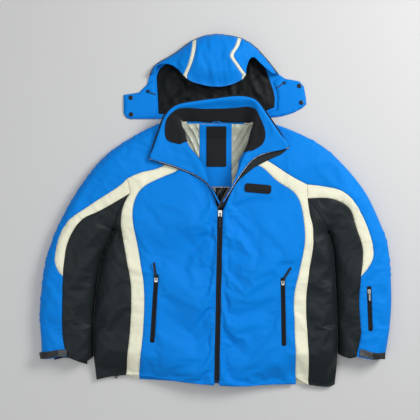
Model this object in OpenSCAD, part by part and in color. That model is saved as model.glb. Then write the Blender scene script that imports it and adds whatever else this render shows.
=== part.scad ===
// Padded ski jacket with a detachable hood, laid flat on its back.
// +X is to the wearer's left, +Y runs from hem to hood, +Z is up from the surface it lies on.
// "right" and "left" in names are the wearer's. All sizes are millimetres.

/* [Overall] */
// Width across both sleeves as laid
jacket_w = 920; // [770:5:1110]
// Length from hem to the top of the hood as laid
jacket_l = 925; // [775:5:1110]
// Height of the laid body and sleeves
laid_h = 44; // [38:1:60]

/* [Cloth] */
// Thickness of the outer shell fabric with its backing
shell_t = 2.4; // [2:0.1:3]
// Thickness of the padding
wadding_t = 4.6; // [3.8:0.1:6]
// Thickness of the lining
lining_t = 1.2; // [0.8:0.1:1.6]
// Room between two panels that meet at the edge of a sleeve
seam_gap = 0.3; // [0.2:0.05:0.5]

/* [Front zip] */
// Width of both tapes of the closed front zip
zip_w = 13.6; // [11:0.2:17]
// Thickness of a zip tape
tape_t = 1.2; // [1:0.1:1.4]
// Gap between the two halves of a zip chain
chain_gap = 1; // [0.8:0.1:1.4]
// Width of one row of coil
coil_w = 1.7; // [1.4:0.1:2]
// Height of a coil under its tape
coil_h = 1; // [0.8:0.1:1.2]
// Length of the front slider
front_slider_l = 16; // [12:0.5:19]
// Width of the front slider
front_slider_w = 9.6; // [8:0.2:11]
// Length of the front pull
front_pull_l = 38; // [30:1:50]

/* [Pocket zips] */
// Width of a pocket zip
pocket_zip_w = 12; // [10:0.2:14.4]
// Length of a hand pocket zip
pocket_zip_l = 176; // [146:1:210]
// Length of the sleeve pocket zip
sleeve_zip_l = 116; // [96:1:138]
// Length of a pocket slider
slider_l = 11; // [9:0.5:13]
// Width of a pocket slider
slider_w = 7.6; // [6.6:0.2:9]
// Length of a hand pocket pull
pull_l = 46; // [38:1:55]
// Length of the sleeve pocket pull
sleeve_pull_l = 24; // [20:1:29]
// Depth of a hand pocket bag
pocket_bag_w = 120; // [100:2:144]

/* [Cuffs and hem] */
// Width of the turned-up hem inside the front
hem_w = 14; // [11:1:16]
// Thickness of the turned-up hem
hem_t = 1; // [0.8:0.1:1.2]
// Width of a cuff strap
strap_w = 17; // [14:1:20]
// Thickness of a cuff strap
strap_t = 2; // [1.6:0.1:2.4]
// Thickness of the hook and loop field under a strap
loop_t = 0.8; // [0.6:0.1:1]

/* [Collar and hood] */
// Height of the back neck seam above the surface
neck_back_z = 20; // [16:1:24]
// Height of the back of the collar above the surface
collar_h = 62; // [52:1:74]
// Thickness of one ply of the collar
collar_t = 2.6; // [2.2:0.1:3.2]
// Height of the hood's crown
hood_h = 58; // [50:1:70]
// Thickness of a hood wing, both plies together
wing_t = 6.4; // [5.4:0.1:7.6]
// Radius of a press stud
stud_r = 6; // [5:0.25:7]
// Radius of the stud's socket
stud_socket_r = 2; // [1.7:0.1:2.4]
// Diameter of the elastic cord
cord_d = 2.6; // [2.2:0.1:3]

/* [Trimmings] */
// Size of the chest badge
badge_size = [69, 23]; // [20:1:90]
// Size of the neck label
label_size = [52, 104]; // [40:1:120]
// Thickness of the moulded badge
badge_t = 2; // [1.6:0.1:2.4]

/* [Hidden] */
$fn = 32;
curve_steps = 6;                 // segments per span of a seam curve
slide_gap = 0.3;                 // clearance over a tape, coil or strap that something slides on
pin_gap = 0.08;                  // radial clearance of a pull's eye on its bar
laid_w_base = 920;               // size at which the seam points below are written
laid_l_base = 925;
grade_x = jacket_w / laid_w_base;
grade_y = jacket_l / laid_l_base;

skin_top = laid_h - shell_t;             // underside of the front shell
wadding_top = skin_top;                  // the padding hangs under the front shell
lining_top = wadding_top - wadding_t;
cavity_top = lining_top - lining_t;
cavity_bottom = shell_t + wadding_t + lining_t;

function graded(p) = [for (q = p) [q[0] * grade_x, q[1] * grade_y]];
function reversed(p) = [for (i = [len(p) - 1 : -1 : 0]) p[i]];
function tail(p, n = 1) = [for (i = [n : len(p) - 1]) p[i]];
function head(p, n = 1) = [for (i = [0 : len(p) - 1 - n]) p[i]];
function last(p) = p[len(p) - 1];
function unit(v) = v / norm(v);
// Two colours of one seam curve: a smooth line through chosen points
function bend(a, b, c, d, t) =
    0.5 * (2 * b + (c - a) * t + (2 * a - 5 * b + 4 * c - d) * t * t + (3 * b - a - 3 * c + d) * t * t * t);
function smooth(p, n = curve_steps) = let (m = len(p) - 1) concat(
    [for (i = [0 : m - 1], k = [0 : n - 1])
        bend(p[max(0, i - 1)], p[i], p[i + 1], p[min(m, i + 2)], k / n)],
    [p[m]]);
// A line moved sideways, to the right of its direction for a positive d
function beside(p, d) = [for (i = [0 : len(p) - 1])
    let (v = unit(p[min(len(p) - 1, i + 1)] - p[max(0, i - 1)])) p[i] + d * [v[1], -v[0]]];
function turned(p, a) = [p[0] * cos(a) - p[1] * sin(a), p[0] * sin(a) + p[1] * cos(a)];
function between(a, b, t) = a + (b - a) * t;

// ---- Seam lines, all running from the collar down ----
// Front opening: the zip runs straight from its box to the slider, then opens into a V
zip_box = [3 * grade_x, -438 * grade_y];
zip_fork = [11.5 * grade_x, 0];
zip_dir = unit(zip_fork - zip_box);
zip_angle = atan2(zip_dir[1], zip_dir[0]);
zip_length = norm(zip_fork - zip_box);
roll_right = graded([[10, 14], [-14, 62], [-27, 87], [-41, 119], [-60, 143]]);
roll_neck_right = graded([[-60, 143], [-82, 174], [-90, 200], [-98, 222], [-104, 240]]);
roll_left = graded([[13, 14], [28, 30], [48, 74], [55, 90], [63, 110], [68, 124]]);
roll_neck_left = graded([[82, 152], [91, 169], [97, 205], [100, 238]]);
edge_right = graded([[10.5, 6], [-4, 35], [-29, 69], [-70, 91], [-99, 105], [-132, 116], [-169, 130]]);
edge_left = graded([[13, 6], [37, 40], [49, 63], [63, 81], [99, 110], [137, 130], [171, 145], [187, 160]]);
flap_left = graded([[14, 12], [35, 42], [56, 77], [81, 115], [99, 133], [125, 146], [182, 162]]);

// Wearer's right side
shoulder_right = smooth(graded([[-104, 240], [-200, 202], [-290, 141], [-357, 58], [-403, -22], [-430, -85],
    [-447, -145], [-460, -260], [-456, -340], [-455, -387]]));
trim_top_right = smooth(graded([[-82, 174], [-134, 116], [-194, 96], [-227, 80]]));
trim_sleeve_out_right = smooth(graded([[-227, 80], [-250, 59], [-333, 5], [-386, -35], [-408, -85], [-413, -125],
    [-404, -157], [-392, -170]]));
trim_sleeve_in_right = smooth(graded([[-220, 43], [-250, 25], [-297, -2], [-340, -23], [-366, -55], [-382, -92],
    [-388, -130], [-392, -170]]));
sleeve_seam_right = smooth(graded([[-392, -170], [-394, -240], [-396, -305], [-394, -335], [-385, -378]]));
trim_out_right = smooth(graded([[-220, 43], [-236, 12], [-243, -35], [-233, -105], [-219, -185], [-217, -250],
    [-223, -335], [-234, -431]]));
trim_in_right = smooth(graded([[-60, 143], [-99, 104], [-134, 88], [-184, 61], [-207, 28], [-213, -20], [-200, -100],
    [-187, -180], [-184, -240], [-189, -330], [-201, -432]]));
armhole_right = smooth(graded([[-220, 43], [-243, 10], [-257, -24], [-267, -56]]));
crease_right = smooth(graded([[-267, -56], [-297, -122], [-311, -190], [-319, -272], [-321, -325], [-320, -384]]));
side_foot_right = smooth(graded([[-320, -384], [-316, -415], [-313, -444]]));
cuff_right = graded([[-455, -387], [-425, -383], [-400, -377], [-385, -378]]);
cuff_under_right = graded([[-385, -378], [-360, -388], [-338, -394], [-320, -384]]);

// Wearer's left side
shoulder_left = smooth(graded([[100, 238], [192, 212], [275, 171], [334, 119], [391, 48], [430, -32], [452, -99],
    [460, -215], [456, -300], [443, -385]]));
trim_top_left = smooth(graded([[82, 152], [135, 126], [192, 88], [235, 65]]));
trim_sleeve_out_left = smooth(graded([[235, 65], [276, 60], [318, 50], [354, 22], [384, -32], [402, -85], [405, -120],
    [391, -151], [374, -170]]));
trim_sleeve_in_left = smooth(graded([[236, 30], [298, 28], [344, 3], [362, -48], [377, -92], [379, -125],
    [374, -170]]));
sleeve_seam_left = smooth(graded([[374, -170], [371, -240], [374, -300], [375, -325], [364, -378]]));
trim_out_left = smooth(graded([[236, 30], [241, -12], [249, -50], [248, -105], [239, -168], [233, -240],
    [237, -330], [243, -457]]));
trim_in_left = smooth(graded([[68, 124], [117, 112], [158, 75], [203, 44], [221, 5], [228, -75], [217, -150],
    [203, -220], [204, -310], [210, -455]]));
armhole_left = smooth(graded([[236, 30], [265, -12], [300, -65]]));
crease_left = smooth(graded([[300, -65], [311, -124], [317, -230], [320, -320], [320, -376]]));
side_foot_left = smooth(graded([[320, -376], [317, -420], [313, -456]]));
cuff_left = graded([[443, -385], [404, -386], [364, -378]]);
cuff_under_left = graded([[364, -378], [346, -383], [320, -376]]);

// Hem of the front, from the right corner to the left one
hem_side_right = graded([[-313, -444], [-279, -436], [-234, -431]]);
hem_trim_right = graded([[-234, -431], [-201, -432]]);
hem_front_right = smooth(graded([[-201, -432], [-100, -445], [-4, -452]]));
hem_front_left = smooth(graded([[9, -452.5], [60, -456], [130, -455], [210, -455]]));
hem_trim_left = graded([[210, -455], [243, -457]]);
hem_side_left = smooth(graded([[243, -457], [291, -462.5], [313, -456]]));

// Back of the garment, which shares the sleeve and side seams
back_trim_top_right = smooth(graded([[-100, 238], [-146, 170], [-200, 100], [-227, 80]]));
back_trim_top_left = smooth(graded([[98, 236], [150, 160], [205, 95], [235, 65]]));
back_trim_in_right = smooth(graded([[-70, 238], [-114, 160], [-184, 61], [-207, 28], [-213, -20], [-200, -100],
    [-187, -180], [-184, -240], [-189, -330], [-201, -444]]));
back_trim_in_left = smooth(graded([[70, 236], [120, 150], [203, 44], [221, 5], [228, -75], [217, -150], [203, -220],
    [204, -310], [210, -457]]));
back_hem = smooth(graded([[-201, -444], [-100, -450], [0, -456], [100, -459], [210, -457]]));

// ---- Hood outlines ----
hood_foot_y = 240.5 * grade_y;
// The rim of the raised crown, from the wearer's right round the top to the left
hood_rim = smooth(graded([[-174, 354], [-158, 383], [-110, 412], [-60, 447], [-10, 462.4], [36, 460], [68, 452],
    [102, 432], [136, 396], [166, 358]]));
hood_rim_in = beside(hood_rim, shell_t);
rim_cuts = [0, 3 * curve_steps, 6 * curve_steps, len(hood_rim) - 1];
function some(p, a, b) = [for (i = [a : b]) p[i]];
wing_right = graded([[-180, 332], [-202, 310], [-222, 307], [-242, 304], [-242, 256], [-236, 245], [-226, 240.5],
    [-154, 240.5]]);
wing_left = graded([[184, 346], [203, 343], [223, 339], [232, 328], [238, 295], [239, 279], [227, 268], [203, 256],
    [175, 248], [133, 243]]);
brim_right = smooth(graded([[-158, 358], [-153, 377], [-135, 382], [-114, 377], [-97, 365], [-84, 350]]));
brim_centre = smooth(graded([[-84, 350], [-66, 335], [-31, 324], [4, 320], [39, 325], [67, 338], [78, 352]]));
brim_left = smooth(graded([[78, 352], [81, 373], [88, 391], [100, 397], [120, 379], [148, 356]]));
face_right = graded([[-158, 350], [-160, 330], [-156, 303], [-154, 254]]);
face_left = graded([[152, 352], [160, 344], [149, 340], [159, 320], [163, 298], [161, 265], [133, 258]]);
hood_trim_w = 9.6 * grade_x;
trim_line_right = smooth(graded([[-60, 447], [-62, 415], [-70, 382], [-84, 350]]));
trim_line_left = smooth(graded([[68, 452], [60, 424], [46, 398], [60, 376], [78, 352]]));
studs = graded([[-223, 296], [-222, 252], [220, 327], [225, 283]]);
eyelets = graded([[-179, 313], [180, 335]]);
face_exits = graded([[-158, 304], [160, 321]]);
eyelet_r = 2.2;

// ---- Hand pocket, sleeve pocket and cuff places ----
// Each zip is given by the top end of its chain and the turn of its axis from -Y
pocket_right = [[-153, -166], -3.6];
pocket_left = [[173, -174], 1];
sleeve_pocket = [[395.5, -196], 2.1];
badge_at = [109, 56];
badge_turn = -5;
strap_right = smooth(graded([[-384, -367], [-410, -369], [-435, -374], [-456, -378]]));
strap_left = smooth(graded([[372, -367], [390, -371], [410, -376], [440, -378]]));
strap_thick_z = laid_h + loop_t + slide_gap;

// ---- Shapes used by several sub-parts ----
module plate(outline, z, t) translate([0, 0, z]) linear_extrude(t) polygon(outline);

// A strip between a line and the same line moved sideways
module strip(line, w, z, t) plate(concat(line, reversed(beside(line, w))), z, t);

// A panel that covers the front, turns round a side edge and covers the back
module wrapped(outline, edge, wall, h = laid_h) {
    plate(outline, 0, shell_t);
    plate(outline, h - shell_t, shell_t);
    strip(edge, wall, 0, h);
}

// A curved sheet through lines of points, with straight sides up and down
module sheet(lines, lift, t) {
    n = len(lines[0]);
    m = len(lines);
    low = [for (l = lines, q = l) q + [0, 0, lift]];
    high = [for (q = low) q + [0, 0, t]];
    up = n * m;
    cells = [for (j = [0 : m - 2], i = [0 : n - 2]) [j * n + i, j * n + i + 1, (j + 1) * n + i + 1, (j + 1) * n + i]];
    under = [for (c = cells, k = [0, 1]) k == 0 ? [c[0], c[1], c[2]] : [c[0], c[2], c[3]]];
    over = [for (f = under) [f[2] + up, f[1] + up, f[0] + up]];
    rim = concat([for (i = [0 : n - 2]) [i, i + 1]], [for (j = [1 : m - 1]) [j * n - 1, (j + 1) * n - 1]],
        [for (i = [n - 1 : -1 : 1]) [up - n + i, up - n + i - 1]], [for (j = [m - 1 : -1 : 1]) [j * n, (j - 1) * n]]);
    sides = [for (e = rim, k = [0, 1]) k == 0 ? [e[1], e[0], e[0] + up] : [e[1], e[0] + up, e[1] + up]];
    polyhedron(concat(low, high), concat(under, over, sides));
}

// ---- Zips, drawn with the top end of the chain at the origin and the chain along -Y ----
module at_zip(place) translate([place[0][0] * grade_x, place[0][1] * grade_y, 0]) rotate([0, 0, place[1]]) children();

tape_z = laid_h - shell_t + 0.6;         // underside of a zip tape, inside the shell's thickness
tape_top = tape_z + tape_t;
coil_z = tape_z - coil_h;
zip_room = tape_z - coil_h - 1.6;        // top of what lies under a zip, clear of its slider

module zip_halves(w, l, top_margin = 0) {
    for (s = [-1, 1])
        translate([s > 0 ? chain_gap / 2 : -w / 2, -l, tape_z]) cube([w / 2 - chain_gap / 2, l + top_margin, tape_t]);
}
module coil_rows(l) {
    for (s = [-1, 1])
        translate([s > 0 ? chain_gap / 2 : -chain_gap / 2 - coil_w, -l, coil_z]) cube([coil_w, l, coil_h]);
}
// A slider is two wings joined by a thin web that runs between the rows of coil
module slider(w, l) {
    t = slider_wing_t;
    web = chain_gap - 0.4;
    low = coil_z - slide_gap - t;
    high = tape_top + slide_gap;
    translate([-w / 2, -l, high]) cube([w, l, t]);
    translate([-w / 2, -l, low]) cube([w, l, t]);
    translate([-web / 2, -l * 0.7, low]) cube([web, l * 0.5, high - low + t]);
    for (s = [-1, 1])
        translate([s * 2.4 - 0.6, -l / 2 - 1.2, high + t - 0.2]) cube([1.2, 2.4, bar_lift + bar_r + 0.6]);
    translate([0, -l / 2, bar_z]) rotate([0, 90, 0]) cylinder(r = bar_r, h = 4.8, center = true);
}
bar_r = 0.8;
bar_lift = 2;                            // height of a slider's bar over its upper wing
slider_wing_t = 1.2;
bar_z = tape_top + slide_gap + slider_wing_t + bar_lift;
// A pull: an eye on the slider's bar, a neck and a tab turned sideways by lean
module pull(l, w, slide_l, lean) {
    t = 1.4;
    neck = 2.8;
    translate([0, -slide_l / 2, bar_z]) difference() {
        union() {
            rotate([0, 90, 0]) cylinder(r = bar_r + pin_gap + 0.75, h = neck, center = true);
            translate([-neck / 2, 1.2, -t / 2]) cube([neck, 6, t]);
            translate([0, 6, -t / 2]) rotate([0, 0, lean]) linear_extrude(t)
                polygon([[-w / 4, 0], [w / 4, 0], [w / 2, 4], [w / 2, l - 9], [w / 3, l - 6], [-w / 3, l - 6],
                    [-w / 2, l - 9], [-w / 2, 4]]);
        }
        rotate([0, 90, 0]) cylinder(r = bar_r + pin_gap, h = neck + 2, center = true);
    }
}
module zip_window(w, l, end) translate([-w / 2, -l, skin_top - 1]) cube([w, l + end, shell_t + 2]);

// ---- Shell of the body ----
right_zip_edge = [zip_box + turned([0, zip_w / 2], zip_angle), zip_fork + turned([0, zip_w / 2], zip_angle)];
left_zip_edge = [zip_box - turned([0, zip_w / 2], zip_angle), zip_fork - turned([0, zip_w / 2], zip_angle)];
body_front_right = concat([right_zip_edge[1], edge_right[1]], tail(roll_right, 1));
body_front_left = concat([left_zip_edge[1], edge_left[1]], tail(roll_left, 2));

module front_panel_right() color("dodgerblue") difference() {
    plate(concat([right_zip_edge[0]], body_front_right, tail(trim_in_right), tail(hem_front_right)),
        skin_top, shell_t);
    at_zip(pocket_right) zip_window(pocket_zip_w, pocket_zip_l, 0);
}
module front_panel_left() color("dodgerblue") difference() {
    plate(concat([left_zip_edge[0]], body_front_left, tail(trim_in_left), tail(reversed(hem_front_left))),
        skin_top, shell_t);
    at_zip(pocket_left) zip_window(pocket_zip_w, pocket_zip_l, 0);
}
module front_trim_right() color("beige")
    plate(concat(trim_top_right, trim_out_right, tail(hem_trim_right), tail(reversed(trim_in_right))),
        skin_top, shell_t);
module front_trim_left() color("beige")
    plate(concat(trim_top_left, trim_out_left, tail(hem_trim_left), tail(reversed(trim_in_left)),
        [roll_left[len(roll_left) - 1]]), skin_top, shell_t);

side_out_right = concat(crease_right, tail(side_foot_right));
side_out_left = concat(crease_left, tail(side_foot_left));
side_right = concat(armhole_right, tail(crease_right), tail(side_foot_right), tail(hem_side_right),
    tail(reversed(trim_out_right)));
side_left = concat(armhole_left, tail(crease_left), tail(side_foot_left), tail(reversed(hem_side_left)),
    tail(reversed(trim_out_left)));
module side_panel_right() color("#202426") wrapped(side_right, side_out_right, -shell_t);
module side_panel_left() color("#202426") wrapped(side_left, side_out_left, shell_t);

module back_panel() color("dodgerblue") {
    plate(concat(back_trim_in_right, tail(back_hem), tail(reversed(back_trim_in_left))), 0, shell_t);
    // the back rises to the neck seam
    strip([back_trim_in_right[0], back_trim_in_left[0]], shell_t, 0, neck_back_z);
}
module back_trims() color("beige") {
    plate(concat(back_trim_top_right, trim_out_right, [last(back_trim_in_right)],
        tail(reversed(back_trim_in_right))), 0, shell_t);
    plate(concat(back_trim_top_left, trim_out_left, [last(back_trim_in_left)],
        tail(reversed(back_trim_in_left))), 0, shell_t);
}
// The turned-up hem inside the front, cut away at the front zip
module hem_band() color("dodgerblue") {
    z = skin_top - hem_t;
    strip(hem_front_right, -hem_w, z, hem_t);
    strip(hem_front_left, -hem_w, z, hem_t);
}

// ---- Sleeves ----
sleeve_right = concat(shoulder_right, tail(cuff_right), tail(reversed(sleeve_seam_right)),
    tail(reversed(trim_sleeve_out_right)), tail(reversed(trim_top_right)), tail(roll_neck_right, 2));
sleeve_right_back = concat(shoulder_right, tail(cuff_right), tail(reversed(sleeve_seam_right)),
    tail(reversed(trim_sleeve_out_right)), tail(reversed(back_trim_top_right)));
sleeve_left = concat(shoulder_left, tail(cuff_left), tail(reversed(sleeve_seam_left)),
    tail(reversed(trim_sleeve_out_left)), tail(reversed(trim_top_left)), tail(roll_neck_left, 1));
sleeve_left_back = concat(shoulder_left, tail(cuff_left), tail(reversed(sleeve_seam_left)),
    tail(reversed(trim_sleeve_out_left)), tail(reversed(back_trim_top_left)));

module sleeve_outer_right() color("dodgerblue") {
    plate(sleeve_right, skin_top, shell_t);
    plate(sleeve_right_back, 0, shell_t);
    strip(shoulder_right, -shell_t, 0, laid_h);
}
module sleeve_outer_left() color("dodgerblue") difference() {
    union() {
        plate(sleeve_left, skin_top, shell_t);
        plate(sleeve_left_back, 0, shell_t);
        strip(shoulder_left, shell_t, 0, laid_h);
    }
    at_zip(sleeve_pocket) zip_window(pocket_zip_w, sleeve_zip_l, 0);
}
trim_right = concat(trim_sleeve_out_right, tail(reversed(trim_sleeve_in_right)));
trim_left = concat(trim_sleeve_out_left, tail(reversed(trim_sleeve_in_left)));
module sleeve_trim_right() color("beige") for (z = [0, skin_top]) plate(trim_right, z, shell_t);
module sleeve_trim_left() color("beige") for (z = [0, skin_top]) plate(trim_left, z, shell_t);

// The under-arm panel starts a seam's gap from the body and turns round the inner edge of the sleeve
sleeve_in_right = beside(crease_right, seam_gap);
sleeve_in_left = beside(crease_left, -seam_gap);
under_right = concat(trim_sleeve_in_right, tail(sleeve_seam_right), tail(head(cuff_under_right)),
    reversed(sleeve_in_right), tail(reversed(armhole_right)));
under_left = concat(trim_sleeve_in_left, tail(sleeve_seam_left), tail(head(cuff_under_left)),
    reversed(sleeve_in_left), tail(reversed(armhole_left)));
module sleeve_under_right() color("#202426") wrapped(under_right, sleeve_in_right, shell_t);
module sleeve_under_left() color("#202426") wrapped(under_left, sleeve_in_left, -shell_t);

// Inner cuff that shows where the back of a sleeve ends past its front
module cuff_facings() color("#17191a") {
    cuffs = [concat(cuff_right, tail(cuff_under_right)), concat(cuff_left, tail(cuff_under_left))];
    show = [11 * grade_y, 4 * grade_y];
    hold = 6 * grade_y;
    for (i = [0, 1]) {
        middle = head(tail(cuffs[i]));
        plate(concat([for (q = middle) q - [0, show[i]]], reversed([for (q = middle) q + [0, hold]])),
            shell_t, lining_t);
    }
}
module cuff_loop_fields() color("#2b2f31") {
    for (s = [strap_right, strap_left])
        strip(beside(s, -strap_w / 2), strap_w, laid_h, loop_t);
}
module strap(line) strip(beside(line, -strap_w / 2), strap_w, strap_thick_z, strap_t);
module cuff_strap_right() color("#17191a") strap(strap_right);
module cuff_strap_left() color("#17191a") strap(strap_left);

// ---- Padding and lining ----
flap_t = 1.2;
zip_band = 22;                           // no padding this near the front zip
pad_in = shell_t + seam_gap;             // how far padding stays inside a side edge
foot_points = 5;                         // end points of a side edge that lie beside the hem
body_pad_right = concat(
    [zip_box + turned([20, zip_band], zip_angle), zip_fork + turned([-16, zip_band], zip_angle)],
    graded([[-40, 76], [-66, 118], [-96, 150], [-112, 196], [-227, 80], [-220, 43]]),
    head(beside(side_out_right, -pad_in), foot_points), graded([[-236, -410], [-201, -411], [-100, -424]]));
body_pad_left = concat(
    [zip_box + turned([20, -zip_band], zip_angle), zip_fork + turned([-16, -zip_band], zip_angle)],
    graded([[62, 66], [90, 118], [112, 150], [116, 196], [235, 65], [236, 30]]),
    head(beside(side_out_left, pad_in), foot_points), graded([[243, -436], [210, -435], [100, -435]]));
sleeve_pad_right = concat(tail(head(beside(shoulder_right, -pad_in), 3), 2),
    graded([[-450, -370], [-425, -366], [-385, -361], [-360, -370], [-338, -376]]),
    reversed(head(beside(crease_right, seam_gap + pad_in), 3)), graded([[-222, 43], [-230, 80], [-130, 196]]));
sleeve_pad_left = concat(tail(head(beside(shoulder_left, pad_in), 3), 2),
    graded([[437, -368], [404, -368], [364, -360], [335, -362]]),
    reversed(head(beside(crease_left, -seam_gap - pad_in), 3)), graded([[238, 30], [238, 65], [130, 196]]));
bag_l = pocket_zip_l - 12;
module bag_window(side) translate([side > 0 ? -pocket_zip_w : -pocket_bag_w + pocket_zip_w, -bag_l - 18, lining_top - 1])
    cube([pocket_bag_w, bag_l + 24, wadding_t + 2]);
module pocket_bag(side) translate([side > 0 ? -pocket_zip_w : -pocket_bag_w + pocket_zip_w, -bag_l - 18, lining_top])
    cube([pocket_bag_w, bag_l + 24, zip_room - lining_top - slide_gap]);

module front_wadding() color("ivory") {
    difference() {
        plate(body_pad_right, lining_top, wadding_t);
        at_zip(pocket_right) bag_window(1);
    }
    difference() {
        plate(body_pad_left, lining_top, wadding_t);
        at_zip(pocket_left) bag_window(-1);
    }
}
module pocket_bags() color("#1d2022") {
    at_zip(pocket_right) pocket_bag(1);
    at_zip(pocket_left) pocket_bag(-1);
}
back_neck = graded([[-96, 226], [96, 224]]);
hem_cord_at = [-262 * grade_x, -438 * grade_y, shell_t + cord_d / 2];
hem_cord_l = 33;
hem_cord_end = hem_cord_at[1] + hem_cord_l + 1;  // the back's padding stops short of the hem cord
back_pad = concat([back_neck[0]], graded([[-227, 80], [-220, 43]]),
    head(beside(side_out_right, -pad_in), foot_points + 4),
    [[-298 * grade_x, hem_cord_end + 2], [-240 * grade_x, hem_cord_end]], graded([[-200, -424], [0, -436], [200, -438]]),
    reversed(head(beside(side_out_left, pad_in), foot_points)), graded([[236, 30], [235, 65]]), [back_neck[1]]);
module back_wadding() color("ivory") plate(back_pad, shell_t, wadding_t);
module back_lining() color("#c9cbb4") plate(back_pad, shell_t + wadding_t, lining_t);
module front_lining() color("#c9cbb4") {
    plate(body_pad_right, cavity_top, lining_t);
    plate(body_pad_left, cavity_top, lining_t);
}
module sleeve_wadding() color("ivory") for (p = [sleeve_pad_right, sleeve_pad_left]) {
    plate(p, shell_t, wadding_t);
    difference() {
        plate(p, lining_top, wadding_t);
        at_zip(sleeve_pocket) translate([0, 0, -2]) zip_window(pocket_zip_w + 2, sleeve_zip_l + 2, 2);
    }
}
module sleeve_lining() color("#c9cbb4") for (p = [sleeve_pad_right, sleeve_pad_left]) {
    plate(p, shell_t + wadding_t, lining_t);
    plate(p, cavity_top, lining_t);
}

// ---- Inside the neck ----
facing_z = cavity_bottom;
neck_wall_y = 238 * grade_y - shell_t;   // inside of the back where it rises to the neck seam
hanger_r = 15;
hanger_y = neck_wall_y - hanger_r - 2;
module neck_facing() color("dodgerblue")
    plate(graded([[-42, 224], [42, 224], [42, 62], [-42, 62]]), facing_z, lining_t);
module facing_piping() color("silver")
    plate(graded([[-42, 62], [42, 62], [42, 59.5], [-42, 59.5]]), facing_z, 1.6);
module neck_label() color("#17191a")
    translate([2 * grade_x, hanger_y - 0.5 - label_size[1] / 2, facing_z + lining_t]) linear_extrude(1)
        offset(3) square(label_size - [6, 6], center = true);
module hanger_loop() color("dodgerblue")
    translate([3 * grade_x, hanger_y, facing_z + lining_t]) difference() {
        cylinder(r = hanger_r, h = 2.4);
        translate([0, 0, -1]) cylinder(r = hanger_r - 3.5, h = 5);
        translate([-hanger_r - 5, -20, -1]) cube([2 * hanger_r + 10, 20, 5]);
    }

// ---- Collar: rows of points from the neck to the free edge, from the right side round to the left ----
// Heights are counted from the top of the laid body: up to collar_rise at the back's free edge, and
// down to -neck_drop at the back of the neck
collar_rise = 18;
neck_drop = 24;
collar_rows = [
    // neck x, y, z          free edge x, y, z
    [[10, 16, 0],            [9.5, 20, 0]],
    [[-14, 62, 0],           [-18, 66, 0]],
    [[-27, 87, 0],           [-50, 90, 0]],
    [[-41, 119, 0],          [-96, 110, 0]],
    [[-60, 143, 0],          [-132, 122, 1]],
    [[-82, 174, 0],          [-169, 133, 4]],
    [[-90, 200, 0],          [-160, 163, 6]],
    [[-98, 222, 0],          [-146, 203, 9]],
    [[-104, 240, 0],         [-129, 244, 12]],
    [[-84, 240, -24],        [-100, 269, 18]],
    [[-40, 239, -24],        [-46, 280, 18]],
    [[0, 238.5, -24],        [0, 286, 18]],
    [[48, 238, -24],         [50, 292, 18]],
    [[82, 237.5, -24],       [86, 289, 18]],
    [[100, 238, 0],          [109, 276, 18]],
    [[97, 205, 0],           [137, 237, 14]],
    [[91, 172, 0],           [164, 198, 10]],
    [[82, 152, 0],           [187, 162, 6]],
    [[73, 138, 0],           [126, 147, 1]],
    [[67, 124, 0],           [98, 133, 0]],
    [[62, 110, 0],           [80, 115, 0]],
    [[48, 76, 0],            [54, 79, 0]],
    [[19, 20.5, 0],          [19.5, 22, 0]]
];
function row_point(q) = [q[0] * grade_x, q[1] * grade_y,
    laid_h + (q[2] > 0 ? q[2] * (collar_h - laid_h) / collar_rise : q[2] * (laid_h - neck_back_z) / neck_drop)];
collar_neck = [for (r = collar_rows) row_point(r[0])];
collar_edge = [for (r = collar_rows) row_point(r[1])];
// Soft fleece covers the inside of the collar from the neck to this share of the way to the free edge
fleece_first = 5;
fleece_reach = [0.12, 0.5, 0.68, 0.72, 0.78, 0.61, 0.54, 0.52, 0.6, 0.52, 0.6, 0.5, 0.12];
fleece_t = 1.6;
fleece_rows = [for (i = [0 : len(fleece_reach) - 1]) i + fleece_first];
function reach(i) = let (k = i - fleece_first) k < 0 || k >= len(fleece_reach) ? 0.3 : fleece_reach[k];
collar_middle = [for (i = [0 : len(collar_rows) - 1]) between(collar_neck[i], collar_edge[i], reach(i))];
collar_lines = [collar_neck, collar_middle, collar_edge];
module collar_shell() color("dodgerblue") sheet(collar_lines, 0, collar_t);
module collar_facing() color("dodgerblue") sheet(collar_lines, collar_t, collar_t);
module collar_fleece() color("#101214")
    sheet([for (l = [collar_neck, collar_middle]) [for (i = fleece_rows) l[i]]], 2 * collar_t, fleece_t);

// Half of the hood's zip, sewn outside the collar along its free edge
hood_tape_w = 6;
hood_tape_t = 1.4;
module hood_zip_tape() color("#17191a") {
    outward = [for (i = fleece_rows) let (d = collar_edge[i] - collar_neck[i]) unit([d[0], d[1], 0])];
    edge = [for (i = fleece_rows) collar_edge[i]];
    sheet([edge, [for (k = [0 : len(edge) - 1]) edge[k] + hood_tape_w * outward[k] - [0, 0, 2]]], 0, hood_tape_t);
}

// Black flap behind the front zip: a band under the closed zip and the wedge that shows beside the open one
module storm_flap() color("#17191a") {
    z = zip_room - slide_gap - flap_t;
    w = zip_band - 1;
    plate([zip_box + turned([14, w], zip_angle), zip_box + turned([14, -w], zip_angle),
        zip_fork + turned([-16, -w], zip_angle), zip_fork + turned([-16, w], zip_angle)], z, flap_t);
    plate(concat(edge_left, reversed(flap_left)), laid_h, flap_t);
}

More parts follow.
